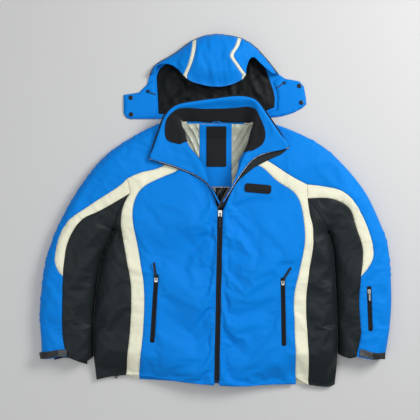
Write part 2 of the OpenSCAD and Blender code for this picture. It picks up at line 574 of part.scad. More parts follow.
// ---- Front zip ----
module at_front_zip() translate([zip_fork[0], zip_fork[1], 0]) rotate([0, 0, zip_angle - 90]) children();
branch_w = 3.2;                          // what shows of a tape beside the open part of the zip
module front_zip_tapes() color("#17191a") {
    at_front_zip() zip_halves(zip_w, zip_length);
    strip(tail(edge_right), branch_w, laid_h, tape_t);
    strip(tail(edge_left), -branch_w, laid_h + flap_t, tape_t);
}
module front_zip_coil() color("silver") {
    at_front_zip() coil_rows(zip_length);
    strip(tail(edge_right), -coil_w, laid_h, coil_h);
    strip(tail(edge_left), coil_w, laid_h, coil_h);
}
module front_zip_box() color("#2b2f31")
    at_front_zip() translate([-4.5, -zip_length - 7, coil_z - 1]) cube([9, 7, coil_h + tape_t + 2]);
module front_slider() color("silver") at_front_zip() slider(front_slider_w, front_slider_l);
module front_pull() color("#17191a")
    at_front_zip() translate([0, -front_slider_l, 0]) mirror([0, 1, 0]) pull(front_pull_l, 6, front_slider_l, 0);

// ---- Pocket zips ----
module pocket_zip(l) {
    zip_halves(pocket_zip_w, l);
    coil_rows(l);
}
slider_drop = 8;                         // the sliders rest this far below the top of their chains
module at_slider(place) at_zip(place) translate([0, -slider_drop, 0]) children();
module pocket_zip_right() color("#17191a") at_zip(pocket_right) pocket_zip(pocket_zip_l);
module pocket_slider_right() color("silver") at_slider(pocket_right) slider(slider_w, slider_l);
module pocket_pull_right() color("#17191a") at_slider(pocket_right) pull(pull_l, 5.6, slider_l, 12);
module pocket_zip_left() color("#17191a") at_zip(pocket_left) pocket_zip(pocket_zip_l);
module pocket_slider_left() color("silver") at_slider(pocket_left) slider(slider_w, slider_l);
module pocket_pull_left() color("#17191a") at_slider(pocket_left) pull(pull_l, 5.6, slider_l, -32);
module sleeve_zip() color("#17191a") at_zip(sleeve_pocket) pocket_zip(sleeve_zip_l);
module sleeve_slider() color("silver") at_slider(sleeve_pocket) slider(slider_w, slider_l);
module sleeve_pull() color("silver")
    at_slider(sleeve_pocket) translate([0, -slider_l, 0]) mirror([0, 1, 0]) pull(sleeve_pull_l, 4.4, slider_l, 0);

// Moulded badge: a rounded base with a plain raised chevron
module chest_badge() color("#17191a")
    translate([badge_at[0] * grade_x, badge_at[1] * grade_y, laid_h]) rotate([0, 0, badge_turn]) {
        r = badge_size[1] / 2 - 4;
        linear_extrude(badge_t) offset(r) square(badge_size - 2 * [r, r], center = true);
        for (x = [-18, -6, 6, 18]) translate([x, 0, badge_t]) linear_extrude(0.8)
            polygon([[-5, -5], [-2, -5], [3, 0], [-2, 5], [-5, 5], [0, 0]]);
    }

// ---- Hood: a flat back, a raised crown over its upper half, and two flat wings ----
hood_top = hood_h - shell_t;
crown = concat(hood_rim, reversed(brim_left), tail(reversed(brim_centre)), tail(reversed(brim_right)));
// One of the three panels' share of the rim: its wall, and the flat back below it
module rim_panel(k, foot) {
    outer = some(hood_rim, rim_cuts[k], rim_cuts[k + 1]);
    plate(concat(outer, foot), 0, shell_t);
    plate(concat(outer, reversed(some(hood_rim_in, rim_cuts[k], rim_cuts[k + 1]))), 0, hood_top);
}
// What lies to the right of, between and to the left of the two trims
far = 300;
right_of_trim = concat([[trim_line_right[0][0], far * 2]], trim_line_right, [[last(trim_line_right)[0], 0], [-far, 0],
    [-far, far * 2]]);
left_of_trim = concat([[trim_line_left[0][0], far * 2]], trim_line_left, [[last(trim_line_left)[0], 0], [far, 0],
    [far, far * 2]]);
module crown_plate() plate(crown, hood_top, shell_t);
module right_side(d = 0) translate([d, 0]) plate(right_of_trim, hood_top - 1, shell_t + 2);
module left_side(d = 0) translate([-d, 0]) plate(left_of_trim, hood_top - 1, shell_t + 2);
seam_foot_right = [-66 * grade_x, hood_foot_y];
seam_foot_left = [66 * grade_x, hood_foot_y];
module hood_centre() color("dodgerblue") {
    difference() {
        crown_plate();
        right_side(hood_trim_w);
        left_side(hood_trim_w);
    }
    rim_panel(1, [seam_foot_left, seam_foot_right]);
}
module hood_trims() color("beige") {
    difference() {
        intersection() {
            crown_plate();
            right_side(hood_trim_w);
        }
        right_side();
    }
    difference() {
        intersection() {
            crown_plate();
            left_side(hood_trim_w);
        }
        left_side();
    }
}
module hood_side_right() color("dodgerblue") {
    intersection() {
        crown_plate();
        right_side();
    }
    rim_panel(0, concat([seam_foot_right], reversed(wing_right)));
    difference() {
        plate(concat(wing_right, reversed(face_right)), shell_t, wing_t - shell_t);
        translate([eyelets[0][0], eyelets[0][1], shell_t]) cylinder(r = eyelet_r + pin_gap, h = wing_t);
    }
}
module hood_side_left() color("dodgerblue") {
    intersection() {
        crown_plate();
        left_side();
    }
    rim_panel(2, concat(wing_left, [seam_foot_left]));
    difference() {
        plate(concat(wing_left, reversed(face_left)), shell_t, wing_t - shell_t);
        translate([eyelets[1][0], eyelets[1][1], shell_t]) cylinder(r = eyelet_r + pin_gap, h = wing_t);
    }
}
module hood_lining() color("#101214") {
    plate(graded([[-150, 254], [-152, 300], [-155, 352], [-148, 372], [-106, 402], [-60, 436], [0, 452], [60, 442],
        [94, 420], [126, 388], [142, 345], [152, 316], [156, 296], [155, 271], [130, 261], [60, 250], [-60, 250]]),
        shell_t, lining_t);
}
module hood_studs() color("#2b2f31") for (s = studs) translate([s[0], s[1], wing_t]) difference() {
    union() {
        cylinder(r = stud_r, h = 1.2);
        cylinder(r = stud_r * 0.62, h = 2.6);
    }
    translate([0, 0, 1]) cylinder(r = stud_socket_r, h = 3);
}
module hood_eyelets() color("#2b2f31") for (e = eyelets) translate([e[0], e[1], shell_t]) difference() {
    union() {
        cylinder(r = eyelet_r, h = wing_t - shell_t + 0.6);
        translate([0, 0, wing_t - shell_t]) cylinder(r = eyelet_r + 1.2, h = 0.8);
    }
    translate([0, 0, -1]) cylinder(d = cord_d + 0.4, h = wing_t + 4);
}
module hood_cords() color("#101214") for (i = [0, 1]) {
    a = eyelets[i];
    b = face_exits[i];
    away = unit(b - a);
    n = atan2(away[1], away[0]);
    translate([a[0] + 4 * away[0], a[1] + 4 * away[1], wing_t + cord_d / 2]) rotate([0, 90, n])
        cylinder(d = cord_d, h = norm(b - a) - 4);
}

// ---- Hem adjuster: a loop of elastic cord at the right side of the hem, with the lock that slides on it ----
cord_spread = 2.8;                       // half the distance between the loop's two runs
lock_size = [13, 9, 6];
module cord_loop(d) {
    for (s = [-1, 1]) translate([s * cord_spread, 0, 0]) rotate([-90, 0, 0]) cylinder(d = d, h = hem_cord_l);
    rotate([0, 0, 180]) rotate_extrude(angle = 180) translate([cord_spread, 0]) circle(d = d);
}
module hem_cord() color("#101214") translate(hem_cord_at) cord_loop(cord_d);
module hem_cord_lock() color("#2b2f31") translate(hem_cord_at) difference() {
    translate([-lock_size[0] / 2, 8, 0.05 - cord_d / 2]) cube(lock_size);
    for (s = [-1, 1]) translate([s * cord_spread, 0, 0]) rotate([-90, 0, 0]) cylinder(d = cord_d + 0.3, h = 30);
}

front_panel_right();
front_panel_left();
front_trim_right();
front_trim_left();
side_panel_right();
side_panel_left();
back_panel();
back_trims();
hem_band();
sleeve_outer_right();
sleeve_outer_left();
sleeve_trim_right();
sleeve_trim_left();
sleeve_under_right();
sleeve_under_left();
cuff_facings();
cuff_loop_fields();
cuff_strap_right();
cuff_strap_left();
front_wadding();
back_wadding();
sleeve_wadding();
front_lining();
back_lining();
sleeve_lining();
neck_facing();
facing_piping();
neck_label();
hanger_loop();
pocket_bags();
collar_shell();
collar_facing();
collar_fleece();
hood_zip_tape();
storm_flap();
front_zip_tapes();
front_zip_coil();
front_zip_box();
front_slider();
front_pull();
pocket_zip_right();
pocket_slider_right();
pocket_pull_right();
pocket_zip_left();
pocket_slider_left();
pocket_pull_left();
sleeve_zip();
sleeve_slider();
sleeve_pull();
chest_badge();
hood_centre();
hood_side_right();
hood_side_left();
hood_trims();
hood_lining();
hood_studs();
hood_eyelets();
hood_cords();
hem_cord();
hem_cord_lock();
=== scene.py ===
# %% [markdown]
# # A padded ski jacket, laid flat on its back
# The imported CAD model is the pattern: it says where every seam, zip and edge lies. This script sews the cloth
# on that pattern. Each piece below takes its outline from its CAD node, gets its soft shape here, and rides
# on the CAD body it belongs to. +X is the wearer's left, +Y runs from hem to hood and +Z points up.

# %% Load the fixed frame
import math
import bmesh
import bpy
import numpy as np
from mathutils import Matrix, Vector, kdtree, noise
from mathutils.bvhtree import BVHTree
from mathutils.geometry import delaunay_2d_cdt


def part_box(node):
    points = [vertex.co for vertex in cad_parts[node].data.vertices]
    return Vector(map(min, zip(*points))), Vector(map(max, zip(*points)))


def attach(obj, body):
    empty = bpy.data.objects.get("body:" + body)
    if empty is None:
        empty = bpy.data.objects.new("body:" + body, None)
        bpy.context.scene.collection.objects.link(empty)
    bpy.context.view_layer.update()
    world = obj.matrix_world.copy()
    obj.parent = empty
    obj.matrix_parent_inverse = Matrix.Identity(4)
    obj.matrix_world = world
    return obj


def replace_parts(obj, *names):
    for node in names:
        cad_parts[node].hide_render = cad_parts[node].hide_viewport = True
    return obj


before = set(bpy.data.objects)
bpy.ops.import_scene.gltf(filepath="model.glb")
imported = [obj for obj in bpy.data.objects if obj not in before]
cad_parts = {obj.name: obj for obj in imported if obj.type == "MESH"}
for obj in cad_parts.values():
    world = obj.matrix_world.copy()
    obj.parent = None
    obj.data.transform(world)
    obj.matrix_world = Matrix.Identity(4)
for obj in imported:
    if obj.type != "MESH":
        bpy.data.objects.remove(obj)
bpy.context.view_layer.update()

MM = 0.001
lay_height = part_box("front_panel_right")[1].z
print("cloth laid at", round(lay_height / MM, 1), "mm")

# %% [markdown]
# ## Camera and light
# A flat garment is best judged from straight above. The camera hangs 2 m over it, a little to one side of the
# middle. One large soft lamp to the wearer's left gives the folds a shaded side, and a pale world fills in.

# %% Camera
def aim(obj, place, target=(0, 0, 0)):
    obj.location = place
    direction = Vector(target) - Vector(place)
    obj.rotation_euler = direction.to_track_quat("-Z", "Y").to_euler()


eye_height = 2.0
view_width = 1.092                       # metres seen across the picture at the cloth's middle height
camera_data = bpy.data.cameras.new("camera")
camera_data.lens = camera_data.sensor_width * (eye_height - 0.028) / view_width
camera = bpy.data.objects.new("camera", camera_data)
camera.location = (-0.0146, 0.0008, eye_height)
bpy.context.scene.collection.objects.link(camera)
bpy.context.scene.camera = camera
print("camera:", round(camera_data.lens, 1), "mm lens,", eye_height, "m over the floor")

# %% Lamps and world
for name, place, size, power in [("key", (1.5, 1.0, 1.5), 1.0, 40), ("top", (-0.3, 0.1, 2.6), 2.2, 20),
                                 ("fill", (-1.5, -1.2, 1.6), 1.6, 7)]:
    lamp_data = bpy.data.lights.new(name, "AREA")
    lamp_data.shape = "DISK"
    lamp_data.size = size
    lamp_data.energy = power
    lamp = bpy.data.objects.new(name, lamp_data)
    bpy.context.scene.collection.objects.link(lamp)
    aim(lamp, place)
world = bpy.data.worlds.new("world")
world.use_nodes = True
world.node_tree.nodes["Background"].inputs["Color"].default_value = (0.82, 0.84, 0.88, 1)
world.node_tree.nodes["Background"].inputs["Strength"].default_value = 0.33
bpy.context.scene.world = world
bpy.context.scene.view_settings.view_transform = "Standard"

# %% [markdown]
# ## Shader maths
# A material is easiest to read as a formula. `Wire` wraps one output socket, so that `weave * 0.3 + 1` adds
# the Math nodes by itself, and `Shader.node` adds any other node with its settings and inputs.

# %% Wire: one value inside a material
class Wire:
    def __init__(self, shader, socket):
        self.shader, self.socket = shader, socket

    def math(self, operation, *others, first=None):
        values = [self if first is None else first, *others]
        return self.shader.node("ShaderNodeMath", {"operation": operation}, dict(enumerate(values)))

    def __add__(self, other):
        return self.math("ADD", other)

    __radd__ = __add__

    def __mul__(self, other):
        return self.math("MULTIPLY", other)

    __rmul__ = __mul__

    def __sub__(self, other):
        return self.math("SUBTRACT", other)

    def __rsub__(self, other):
        return self.math("SUBTRACT", self, first=other)

    def __truediv__(self, other):
        return self.math("DIVIDE", other)

    def __pow__(self, other):
        return self.math("POWER", other)

    def sine(self):
        return self.math("SINE")

    def size(self):
        return self.math("ABSOLUTE")

    def clamped(self, low=0, high=1):
        return self.shader.node("ShaderNodeClamp", {}, {0: self, 1: low, 2: high})

# %% Shader: one material, built from formulas
class Shader:
    def __init__(self, name, colour, roughness, fixed):
        self.material = bpy.data.materials.new(name)
        self.material.use_nodes = True
        self.tree = self.material.node_tree
        self.surface = self.tree.nodes["Principled BSDF"]
        self.surface.inputs["Base Color"].default_value = (*colour, 1)
        self.surface.inputs["Roughness"].default_value = roughness
        for key, value in fixed.items():
            self.surface.inputs[key].default_value = value

    def node(self, kind, settings, inputs, output=0):
        made = self.tree.nodes.new(kind)
        for key, value in settings.items():
            setattr(made, key, value)
        for key, value in inputs.items():
            if isinstance(value, Wire):
                self.tree.links.new(value.socket, made.inputs[key])
            else:
                made.inputs[key].default_value = value
        return Wire(self, made.outputs[output])

    def feed(self, key, wire):
        self.tree.links.new(wire.socket, self.surface.inputs[key])

    def place(self, stretch=(1, 1, 1), turn=(0, 0, 0)):
        point = self.node("ShaderNodeTexCoord", {}, {}, "Object")
        return self.node("ShaderNodeMapping", {}, {"Vector": point, "Scale": stretch, "Rotation": turn})

    def uv(self):
        return self.node("ShaderNodeTexCoord", {}, {}, "UV")

    def axes(self, vector):
        parts = self.tree.nodes.new("ShaderNodeSeparateXYZ")
        self.tree.links.new(vector.socket, parts.inputs[0])
        return [Wire(self, output) for output in parts.outputs]

    def cloud(self, vector, scale, detail=3, rough=0.5):
        return self.node("ShaderNodeTexNoise", {}, {"Vector": vector, "Scale": scale, "Detail": detail,
                                                   "Roughness": rough})

    def mixed(self, share, one, other):
        return self.node("ShaderNodeMix", {"data_type": "RGBA"}, {0: share, 6: one, 7: other}, 2)

    def bump(self, height, depth, strength=1.0):
        normal = self.node("ShaderNodeBump", {}, {"Height": height, "Distance": depth, "Strength": strength})
        self.feed("Normal", normal)


def tone(colour, gain):
    return (*[min(1, c * gain) for c in colour], 1)


print("shader tools ready")

# %% [markdown]
# ## Reading the pattern
# A CAD panel is a flat plate, so its cut line is the rim of its flat face at one height. Two panels that are
# sewn together share that line. The lines are walked off the mesh and cut into short, even steps, which land
# on the same points from both sides of a seam.

# %% Cut lines from a CAD node
def welded(node):
    """A CAD node's mesh with its loose triangles joined."""
    mesh = bmesh.new()
    mesh.from_mesh(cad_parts[node].data)
    bmesh.ops.remove_doubles(mesh, verts=mesh.verts, dist=1e-6)
    mesh.verts.index_update()
    return mesh


def walked(pairs):
    """Closed chains of point numbers from pairs that follow each other."""
    ways = {}
    for a, b in pairs:
        ways.setdefault(a, []).append(b)
        ways.setdefault(b, []).append(a)
    chains = []
    while ways:
        chain, before, here = [], None, min(ways)
        while here in ways:
            chain.append(here)
            onward = [w for w in ways.pop(here) if w != before]
            before, here = here, next((w for w in onward if w in ways), None)
        chains.append(chain)
    return chains


def cut_lines(node, height):
    """Closed outlines of the node's flat face at one height, as lists of flat points."""
    mesh = welded(node)
    level = {f.index for f in mesh.faces if all(abs(v.co.z - height) < 1e-5 for v in f.verts)}
    pairs = [(e.verts[0].index, e.verts[1].index) for e in mesh.edges
             if sum(f.index in level for f in e.link_faces) == 1]
    places = [v.co.xy.to_tuple() for v in mesh.verts]
    mesh.free()
    return [[places[i] for i in chain] for chain in walked(pairs)]

# %% Steps, insides and distances
def in_steps(line, longest, closed=True):
    """The same line with every stretch cut into equal steps no longer than longest."""
    fine = []
    for i in range(len(line) if closed else len(line) - 1):
        a, b = np.array(line[i]), np.array(line[(i + 1) % len(line)])
        count = max(1, math.ceil(np.linalg.norm(b - a) / longest))
        fine += [tuple(a + (b - a) * k / count) for k in range(count)]
    return fine if closed else [*fine, tuple(line[-1])]


def inside(points, lines):
    """Which of the points lie inside the outlines, counted even and odd."""
    hit = np.zeros(len(points), bool)
    x, y = points[:, 0], points[:, 1]
    for line in lines:
        ring = np.array(line)
        for (x0, y0), (x1, y1) in zip(ring, np.roll(ring, -1, 0)):
            if y0 != y1:
                hit ^= ((y0 > y) != (y1 > y)) & (x < (x1 - x0) * (y - y0) / (y1 - y0) + x0)
    return hit


def reach_to(points, marks):
    """Distance from each flat point to the nearest of some marks, and which mark that is."""
    tree = kdtree.KDTree(len(marks))
    for i, mark in enumerate(marks):
        tree.insert((mark[0], mark[1], 0), i)
    tree.balance()
    found = [tree.find((p[0], p[1], 0)) for p in points]
    return np.array([f[2] for f in found]), np.array([f[1] for f in found])


def eased(t):
    t = np.clip(t, 0, 1)
    return t * t * (3 - 2 * t)

# %% [markdown]
# ## One cloth for all the front panels
# If every panel had its own mesh, folds would stop at each seam. So the front is meshed once: the cut lines go
# into a Delaunay triangulation together with an even grid of points, and each triangle is then given to the
# panel that it falls in.

# %% Triangles over a set of panels
class Cloth:
    """A flat triangle mesh over several CAD panels, with heights to be given to its points."""

    def __init__(self, nodes, height, step, spread=None, turn_points=()):
        spread = spread or step
        self.nodes = nodes
        self.lines = {n: [in_steps(line, step) for line in cut_lines(n, height)] for n in nodes}
        places, edges, self.index = [], set(), {}
        for line in (line for lines in self.lines.values() for line in lines):
            ids = [self.point_id(p, places) for p in line]
            edges |= {tuple(sorted(e)) for e in zip(ids, ids[1:] + ids[:1]) if e[0] != e[1]}
        rim = np.array(places)
        low, high = rim.min(0), rim.max(0)
        rows = np.arange(low[1], high[1], spread * 0.866)
        grid = np.array([(x + (i % 2) * spread / 2, y) for i, y in enumerate(rows)
                         for x in np.arange(low[0], high[0], spread)])
        held = np.zeros(len(grid), bool)
        for lines in self.lines.values():
            held |= inside(grid, lines)
        grid = grid[held]
        grid = grid[reach_to(grid, rim)[0] > 0.62 * min(step * 1.1, spread)]
        if len(turn_points):
            rings, grid = self.rings(turn_points, rim, grid)
            grid = np.vstack([rings, grid])
        flat = [Vector(p) for p in [*places, *grid]]
        verts, _, faces, _, _, _ = delaunay_2d_cdt(flat, sorted(edges), [], 0, 1e-7)
        self.flat = np.array([tuple(v) for v in verts])
        faces = np.array([f for f in faces if len(f) == 3])
        middle = self.flat[faces].mean(1)
        owner = np.full(len(faces), -1)
        for k, node in enumerate(nodes):
            owner[inside(middle, self.lines[node])] = k
        self.faces, self.owner = faces[owner >= 0], owner[owner >= 0]
        self.rim_edges = self.open_edges(self.faces)
        self.rim = np.unique(self.rim_edges)

    def rings(self, turn_points, rim, grid):
        """Rows of points that follow a turn closely, in place of the grid there."""
        rings = []
        for (x, y), (nx, ny) in turn_points:
            rings += [(x + nx * d, y + ny * d) for d in (1.7 * MM, 4.4 * MM, 8.5 * MM)]
        rings = np.array(rings)
        rings = rings[reach_to(rings, rim)[0] > 1.4 * MM]
        held = np.zeros(len(rings), bool)
        for lines in self.lines.values():
            held |= inside(rings, lines)
        rings = rings[held]
        return rings, grid[reach_to(grid, rings)[0] > 4.2 * MM]

    def inward(self, chosen):
        """Some open edge points and the flat direction from each into the cloth."""
        ends = {}
        for a, b in self.rim_edges:
            ends.setdefault(a, []).append(b)
            ends.setdefault(b, []).append(a)
        touching = {}
        for face in self.faces:
            middle = self.flat[face].mean(0)
            for i in face:
                if i in ends:
                    touching.setdefault(i, []).append(middle)
        found = []
        for i in chosen:
            a, b = self.flat[ends[i][0]], self.flat[ends[i][-1]]
            normal = np.array([b[1] - a[1], a[0] - b[0]]) / max(np.linalg.norm(b - a), 1e-9)
            inner = np.mean(touching[i], 0) - self.flat[i]
            found.append((self.flat[i], normal * np.sign(normal @ inner)))
        return found

    def point_id(self, p, places):
        key = (round(p[0] * 2e4), round(p[1] * 2e4))
        for dx in (0, 1, -1):
            for dy in (0, 1, -1):
                if (key[0] + dx, key[1] + dy) in self.index:
                    return self.index[(key[0] + dx, key[1] + dy)]
        self.index[key] = len(places)
        places.append(p)
        return self.index[key]

    @staticmethod
    def open_edges(faces):
        pairs = np.sort(np.concatenate([faces[:, [0, 1]], faces[:, [1, 2]], faces[:, [2, 0]]]), 1)
        unique, count = np.unique(pairs, axis=0, return_counts=True)
        return unique[count == 1]

# %% The front cloth
front_nodes = ["front_panel_right", "front_panel_left", "front_trim_right", "front_trim_left",
               "side_panel_right", "side_panel_left", "sleeve_outer_right", "sleeve_outer_left",
               "sleeve_trim_right", "sleeve_trim_left", "sleeve_under_right", "sleeve_under_left"]
front = Cloth(front_nodes, lay_height, 6.5 * MM)
print("front cloth:", len(front.flat), "points,", len(front.faces), "triangles,",
      len(front.rim), "on its edges")
for k, node in enumerate(front_nodes):
    print(" ", node, (front.owner == k).sum(), "triangles from", len(front.lines[node]), "cut lines")

# %% [markdown]
# ## How high the cloth lies
# A laid jacket is a cushion: thick in the middle, and low where its front turns over into its back. Those turns
# are the shoulders, the side edges and the creases between sleeves and body. The height climbs away from a turn
# as the side of a cushion does, steeply first. Zips and the neck keep the height that the CAD model gives them.

# %% Named places on the pattern
zip_low, zip_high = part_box("front_zip_box"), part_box("front_slider")
zip_foot = np.array([(zip_low[0].x + zip_low[1].x) / 2, zip_low[1].y])
zip_head = np.array([(zip_high[0].x + zip_high[1].x) / 2, zip_high[1].y])
zip_half = 8 * MM
neck_reach = 105 * MM                    # the neck's corners lie this far from the middle
neck_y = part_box("back_panel")[1].y
hem_y, cuff_y = -0.420, -0.3755
body_half = 0.3125                       # half the width of the hem
turn_height, crease_height, top_height = 15 * MM, 9 * MM, lay_height - 0.5 * MM


def zip_line_x(y):
    return zip_foot[0] + (zip_head[0] - zip_foot[0]) * (y - zip_foot[1]) / (zip_head[1] - zip_foot[1])


def edge_kind(x, y):
    """What an open edge point of the front is: zip, neck, hem, cuff or turn."""
    if abs(x - zip_line_x(y)) < zip_half and y < zip_head[1] + 10 * MM:
        return "zip"
    if y > 0 and abs(x) < neck_reach - 0.5 * MM:
        return "neck"
    if y < hem_y and abs(x) < body_half:
        return "hem"
    if y < cuff_y and body_half + 8 * MM < abs(x) < (0.4545 if x < 0 else 0.4425):
        return "cuff"
    return "turn"


def turn_heights(points):
    """Height of the line where front and back meet, at some flat points."""
    heights = np.full(len(points), turn_height)
    between = (np.abs(points[:, 0]) < 0.325) & (points[:, 1] < 0.04)
    heights[between] = crease_height
    corner = np.hypot(np.abs(points[:, 0]) - neck_reach, points[:, 1] - neck_y)
    climb = 1 - eased(corner / 0.12)
    return heights + (top_height - heights) * climb


def cushion(distance, reach, power=2.1):
    return (1 - (1 - np.clip(distance / reach, 0, 1)) ** power) ** (1 / power)

# %% Kinds of edge point, and rows of points along the turns
def sort_edges(cloth):
    kinds = {}
    for i in cloth.rim:
        x, y = cloth.flat[i]
        near_window = any(abs(x - p[0]) + abs(y - p[1]) < 0.2 * MM for p in window_points)
        kinds[i] = "window" if near_window else edge_kind(x, y)
    return kinds


windows = [line for lines in front.lines.values() for line in lines if len(lines) > 1
           and np.ptp(np.array(line)[:, 0]) < 30 * MM]
window_points = {tuple(p) for line in windows for p in line}
kinds = sort_edges(front)
turn_guides = front.inward([i for i in front.rim if kinds[i] == "turn"])
front = Cloth(front_nodes, lay_height, 6.5 * MM, turn_points=turn_guides)
kinds = sort_edges(front)
print({k: list(kinds.values()).count(k) for k in sorted(set(kinds.values()))})

# %% Heights of the front before the cloth is let go
turns = np.array([front.flat[i] for i in front.rim if kinds[i] == "turn"])
hems = np.array([front.flat[i] for i in front.rim if kinds[i] == "hem"])
cuffs = np.array([front.flat[i] for i in front.rim if kinds[i] == "cuff"])
from_turn, which = reach_to(front.flat, turns)
edge_height = turn_heights(turns)[which]
side = np.where(front.flat[:, 1] < -0.3, 42 * MM, 58 * MM)
front_height = edge_height + (top_height - edge_height) * cushion(from_turn, side)
from_hem = reach_to(front.flat, hems)[0]
hem_line = 13 * MM + 30 * MM * np.exp(-((front.flat[:, 0] - zip_foot[0]) / 0.13) ** 2)
drop = 1 - eased(from_hem / 0.075)
front_height -= drop * np.maximum(front_height - hem_line, 0)
level = np.array([kinds.get(i) in ("zip", "neck", "window") for i in range(len(front.flat))])
from_level = reach_to(front.flat, front.flat[level])[0]
front_height += (top_height - front_height) * (1 - eased(from_level / 0.03)) * (np.abs(front.flat[:, 0]) < 0.42)
front_height[[i for i in front.rim if kinds[i] == "turn"]] = turn_heights(turns)
print("front lies between", round(front_height.min() / MM), "and", round(front_height.max() / MM), "mm")

# %% [markdown]
# ## Letting the cloth go
# The padded shell carries a little more cloth than its outline needs, most of all where it is sewn to the zip
# tapes, because the tapes have shrunk. A cloth simulation finds the folds: the edges are pinned, the inside is
# held softly, as the padding holds it, and the cloth grows by a few per cent.

# %% Simulated folds
def as_object(name, points, faces, material=None):
    mesh = bpy.data.meshes.new(name)
    mesh.from_pydata([tuple(p) for p in points], [], [tuple(int(i) for i in f) for f in faces])
    mesh.update()
    if material:
        mesh.materials.append(material)
    made = bpy.data.objects.new(name, mesh)
    bpy.context.scene.collection.objects.link(made)
    return made


def weigh(obj, group, weights):
    made = obj.vertex_groups.new(name=group)
    for i, weight in enumerate(weights):
        made.add([i], float(weight), "REPLACE")
    return made


def coordinates(mesh):
    found = np.zeros(len(mesh.vertices) * 3)
    mesh.vertices.foreach_get("co", found)
    return found.reshape(-1, 3)

# %% [markdown]
# The run happens on a copy of the mesh and only its points are kept, so that no Cloth modifier stays on a
# finished piece. Gravity is off, because the folds come from the surplus cloth and not from weight.

# %% A cloth run that gives back where its points settle
def let_go(name, points, faces, held, calm, surplus, frames):
    """Runs the cloth and returns the points where it settles."""
    cloth = as_object(name, points, faces)
    weigh(cloth, "held", held)
    weigh(cloth, "calm", calm)
    modifier = cloth.modifiers.new("cloth", "CLOTH")
    settings = modifier.settings
    settings.quality = 6
    settings.mass = 0.12
    settings.tension_stiffness = settings.compression_stiffness = 25
    settings.shear_stiffness = 12
    settings.bending_stiffness = 0.6
    settings.air_damping = 3
    settings.vertex_group_mass = "held"
    settings.pin_stiffness = 1.0
    settings.vertex_group_shrink = "calm"
    settings.shrink_min, settings.shrink_max = surplus
    settings.effector_weights.gravity = 0
    modifier.collision_settings.use_self_collision = False
    modifier.point_cache.frame_end = frames
    for frame_number in range(1, frames + 1):
        bpy.context.scene.frame_set(frame_number)
    settled = cloth.evaluated_get(bpy.context.evaluated_depsgraph_get()).to_mesh()
    result = coordinates(settled)
    bpy.data.objects.remove(cloth)
    bpy.context.scene.frame_set(1)
    return result


start = np.column_stack([front.flat, front_height])

# %% [markdown]
# Long folds fall from the shoulders to the outer hem. A little seeded noise, stretched in that direction,
# tells the cloth where to start folding. The cloth run then sharpens the folds and adds puckers by the zip.

# %% Folds of the front
across_folds = np.abs(front.flat[:, 0]) * 0.8 + front.flat[:, 1] * 0.6
along_folds = np.abs(front.flat[:, 0]) * 0.6 - front.flat[:, 1] * 0.8
ripple = np.array([noise.noise(Vector((a * 30, b * 8, 3.1 + (x > 0) * 5)))
                   for a, b, x in zip(across_folds, along_folds, front.flat[:, 0])])
free = eased(reach_to(front.flat, front.flat[front.rim])[0] / 0.02)
start[:, 2] += 4.2 * MM * ripple * free
padding_hold = 0.035                     # share of a full pin that the padding gives the inside
held = np.where(free <= 0, 1.0, padding_hold)
from_zip = reach_to(front.flat, [zip_foot + (zip_head - zip_foot) * t for t in np.linspace(0, 1, 80)])[0]
calm = eased((from_zip - 0.01) / 0.11)
zip_surplus, side_surplus = -0.055, -0.018     # how much the cloth grows at the zip, and far from it
settling_frames = 26
settled = let_go("front_cloth", start, front.faces, held, calm,
                                          (zip_surplus, side_surplus), settling_frames)
move = settled - start
move[:, :2] *= eased(from_turn / 0.04)[:, None]
move *= np.where(from_turn < 0.012, eased(from_turn / 0.012), 1)[:, None]
front_points = start + move

# %% Keep the folds low under what lies on them
def off_box(node):
    """Flat distance from each point of the front to a node's box."""
    low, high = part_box(node)
    return np.hypot(np.maximum(np.maximum(low.x - x, x - high.x), 0),
                    np.maximum(np.maximum(low.y - y, y - high.y), 0))


x, y = front.flat.T
cap = top_height + 0.2 * MM + 12 * MM * eased((np.abs(x) - 0.175) / 0.03) + 12 * MM * eased((0.03 - y) / 0.03)
for node in ("front_pull", "pocket_pull_right", "pocket_pull_left", "sleeve_pull"):
    off = off_box(node)
    cap = np.minimum(cap, top_height + 0.6 * MM + 12 * MM * eased((off - 0.006) / 0.02))
rest_on = 1 - eased(off_box("chest_badge") / 0.02)
front_points[:, 2] += (top_height - front_points[:, 2]) * rest_on
over = front_points[:, 2] > cap
front_points[over, 2] = cap[over] + 0.12 * (front_points[over, 2] - cap[over])
print("folds move the cloth", round(np.abs(move[:, 2]).max() / MM, 1), "mm at most,",
      round(np.abs(move[:, 2]).mean() / MM, 2), "mm on average")

# %% [markdown]
# ## The cloth's finish
# The shell is a tightly woven nylon: matt, with a thread every half millimetre and slow changes of tone where
# it has been folded. The weave is drawn on the flat pattern, which every panel keeps as its UV map, so that it
# follows the cloth. Seams collect a little dirt, which a `seam` attribute on the points marks.

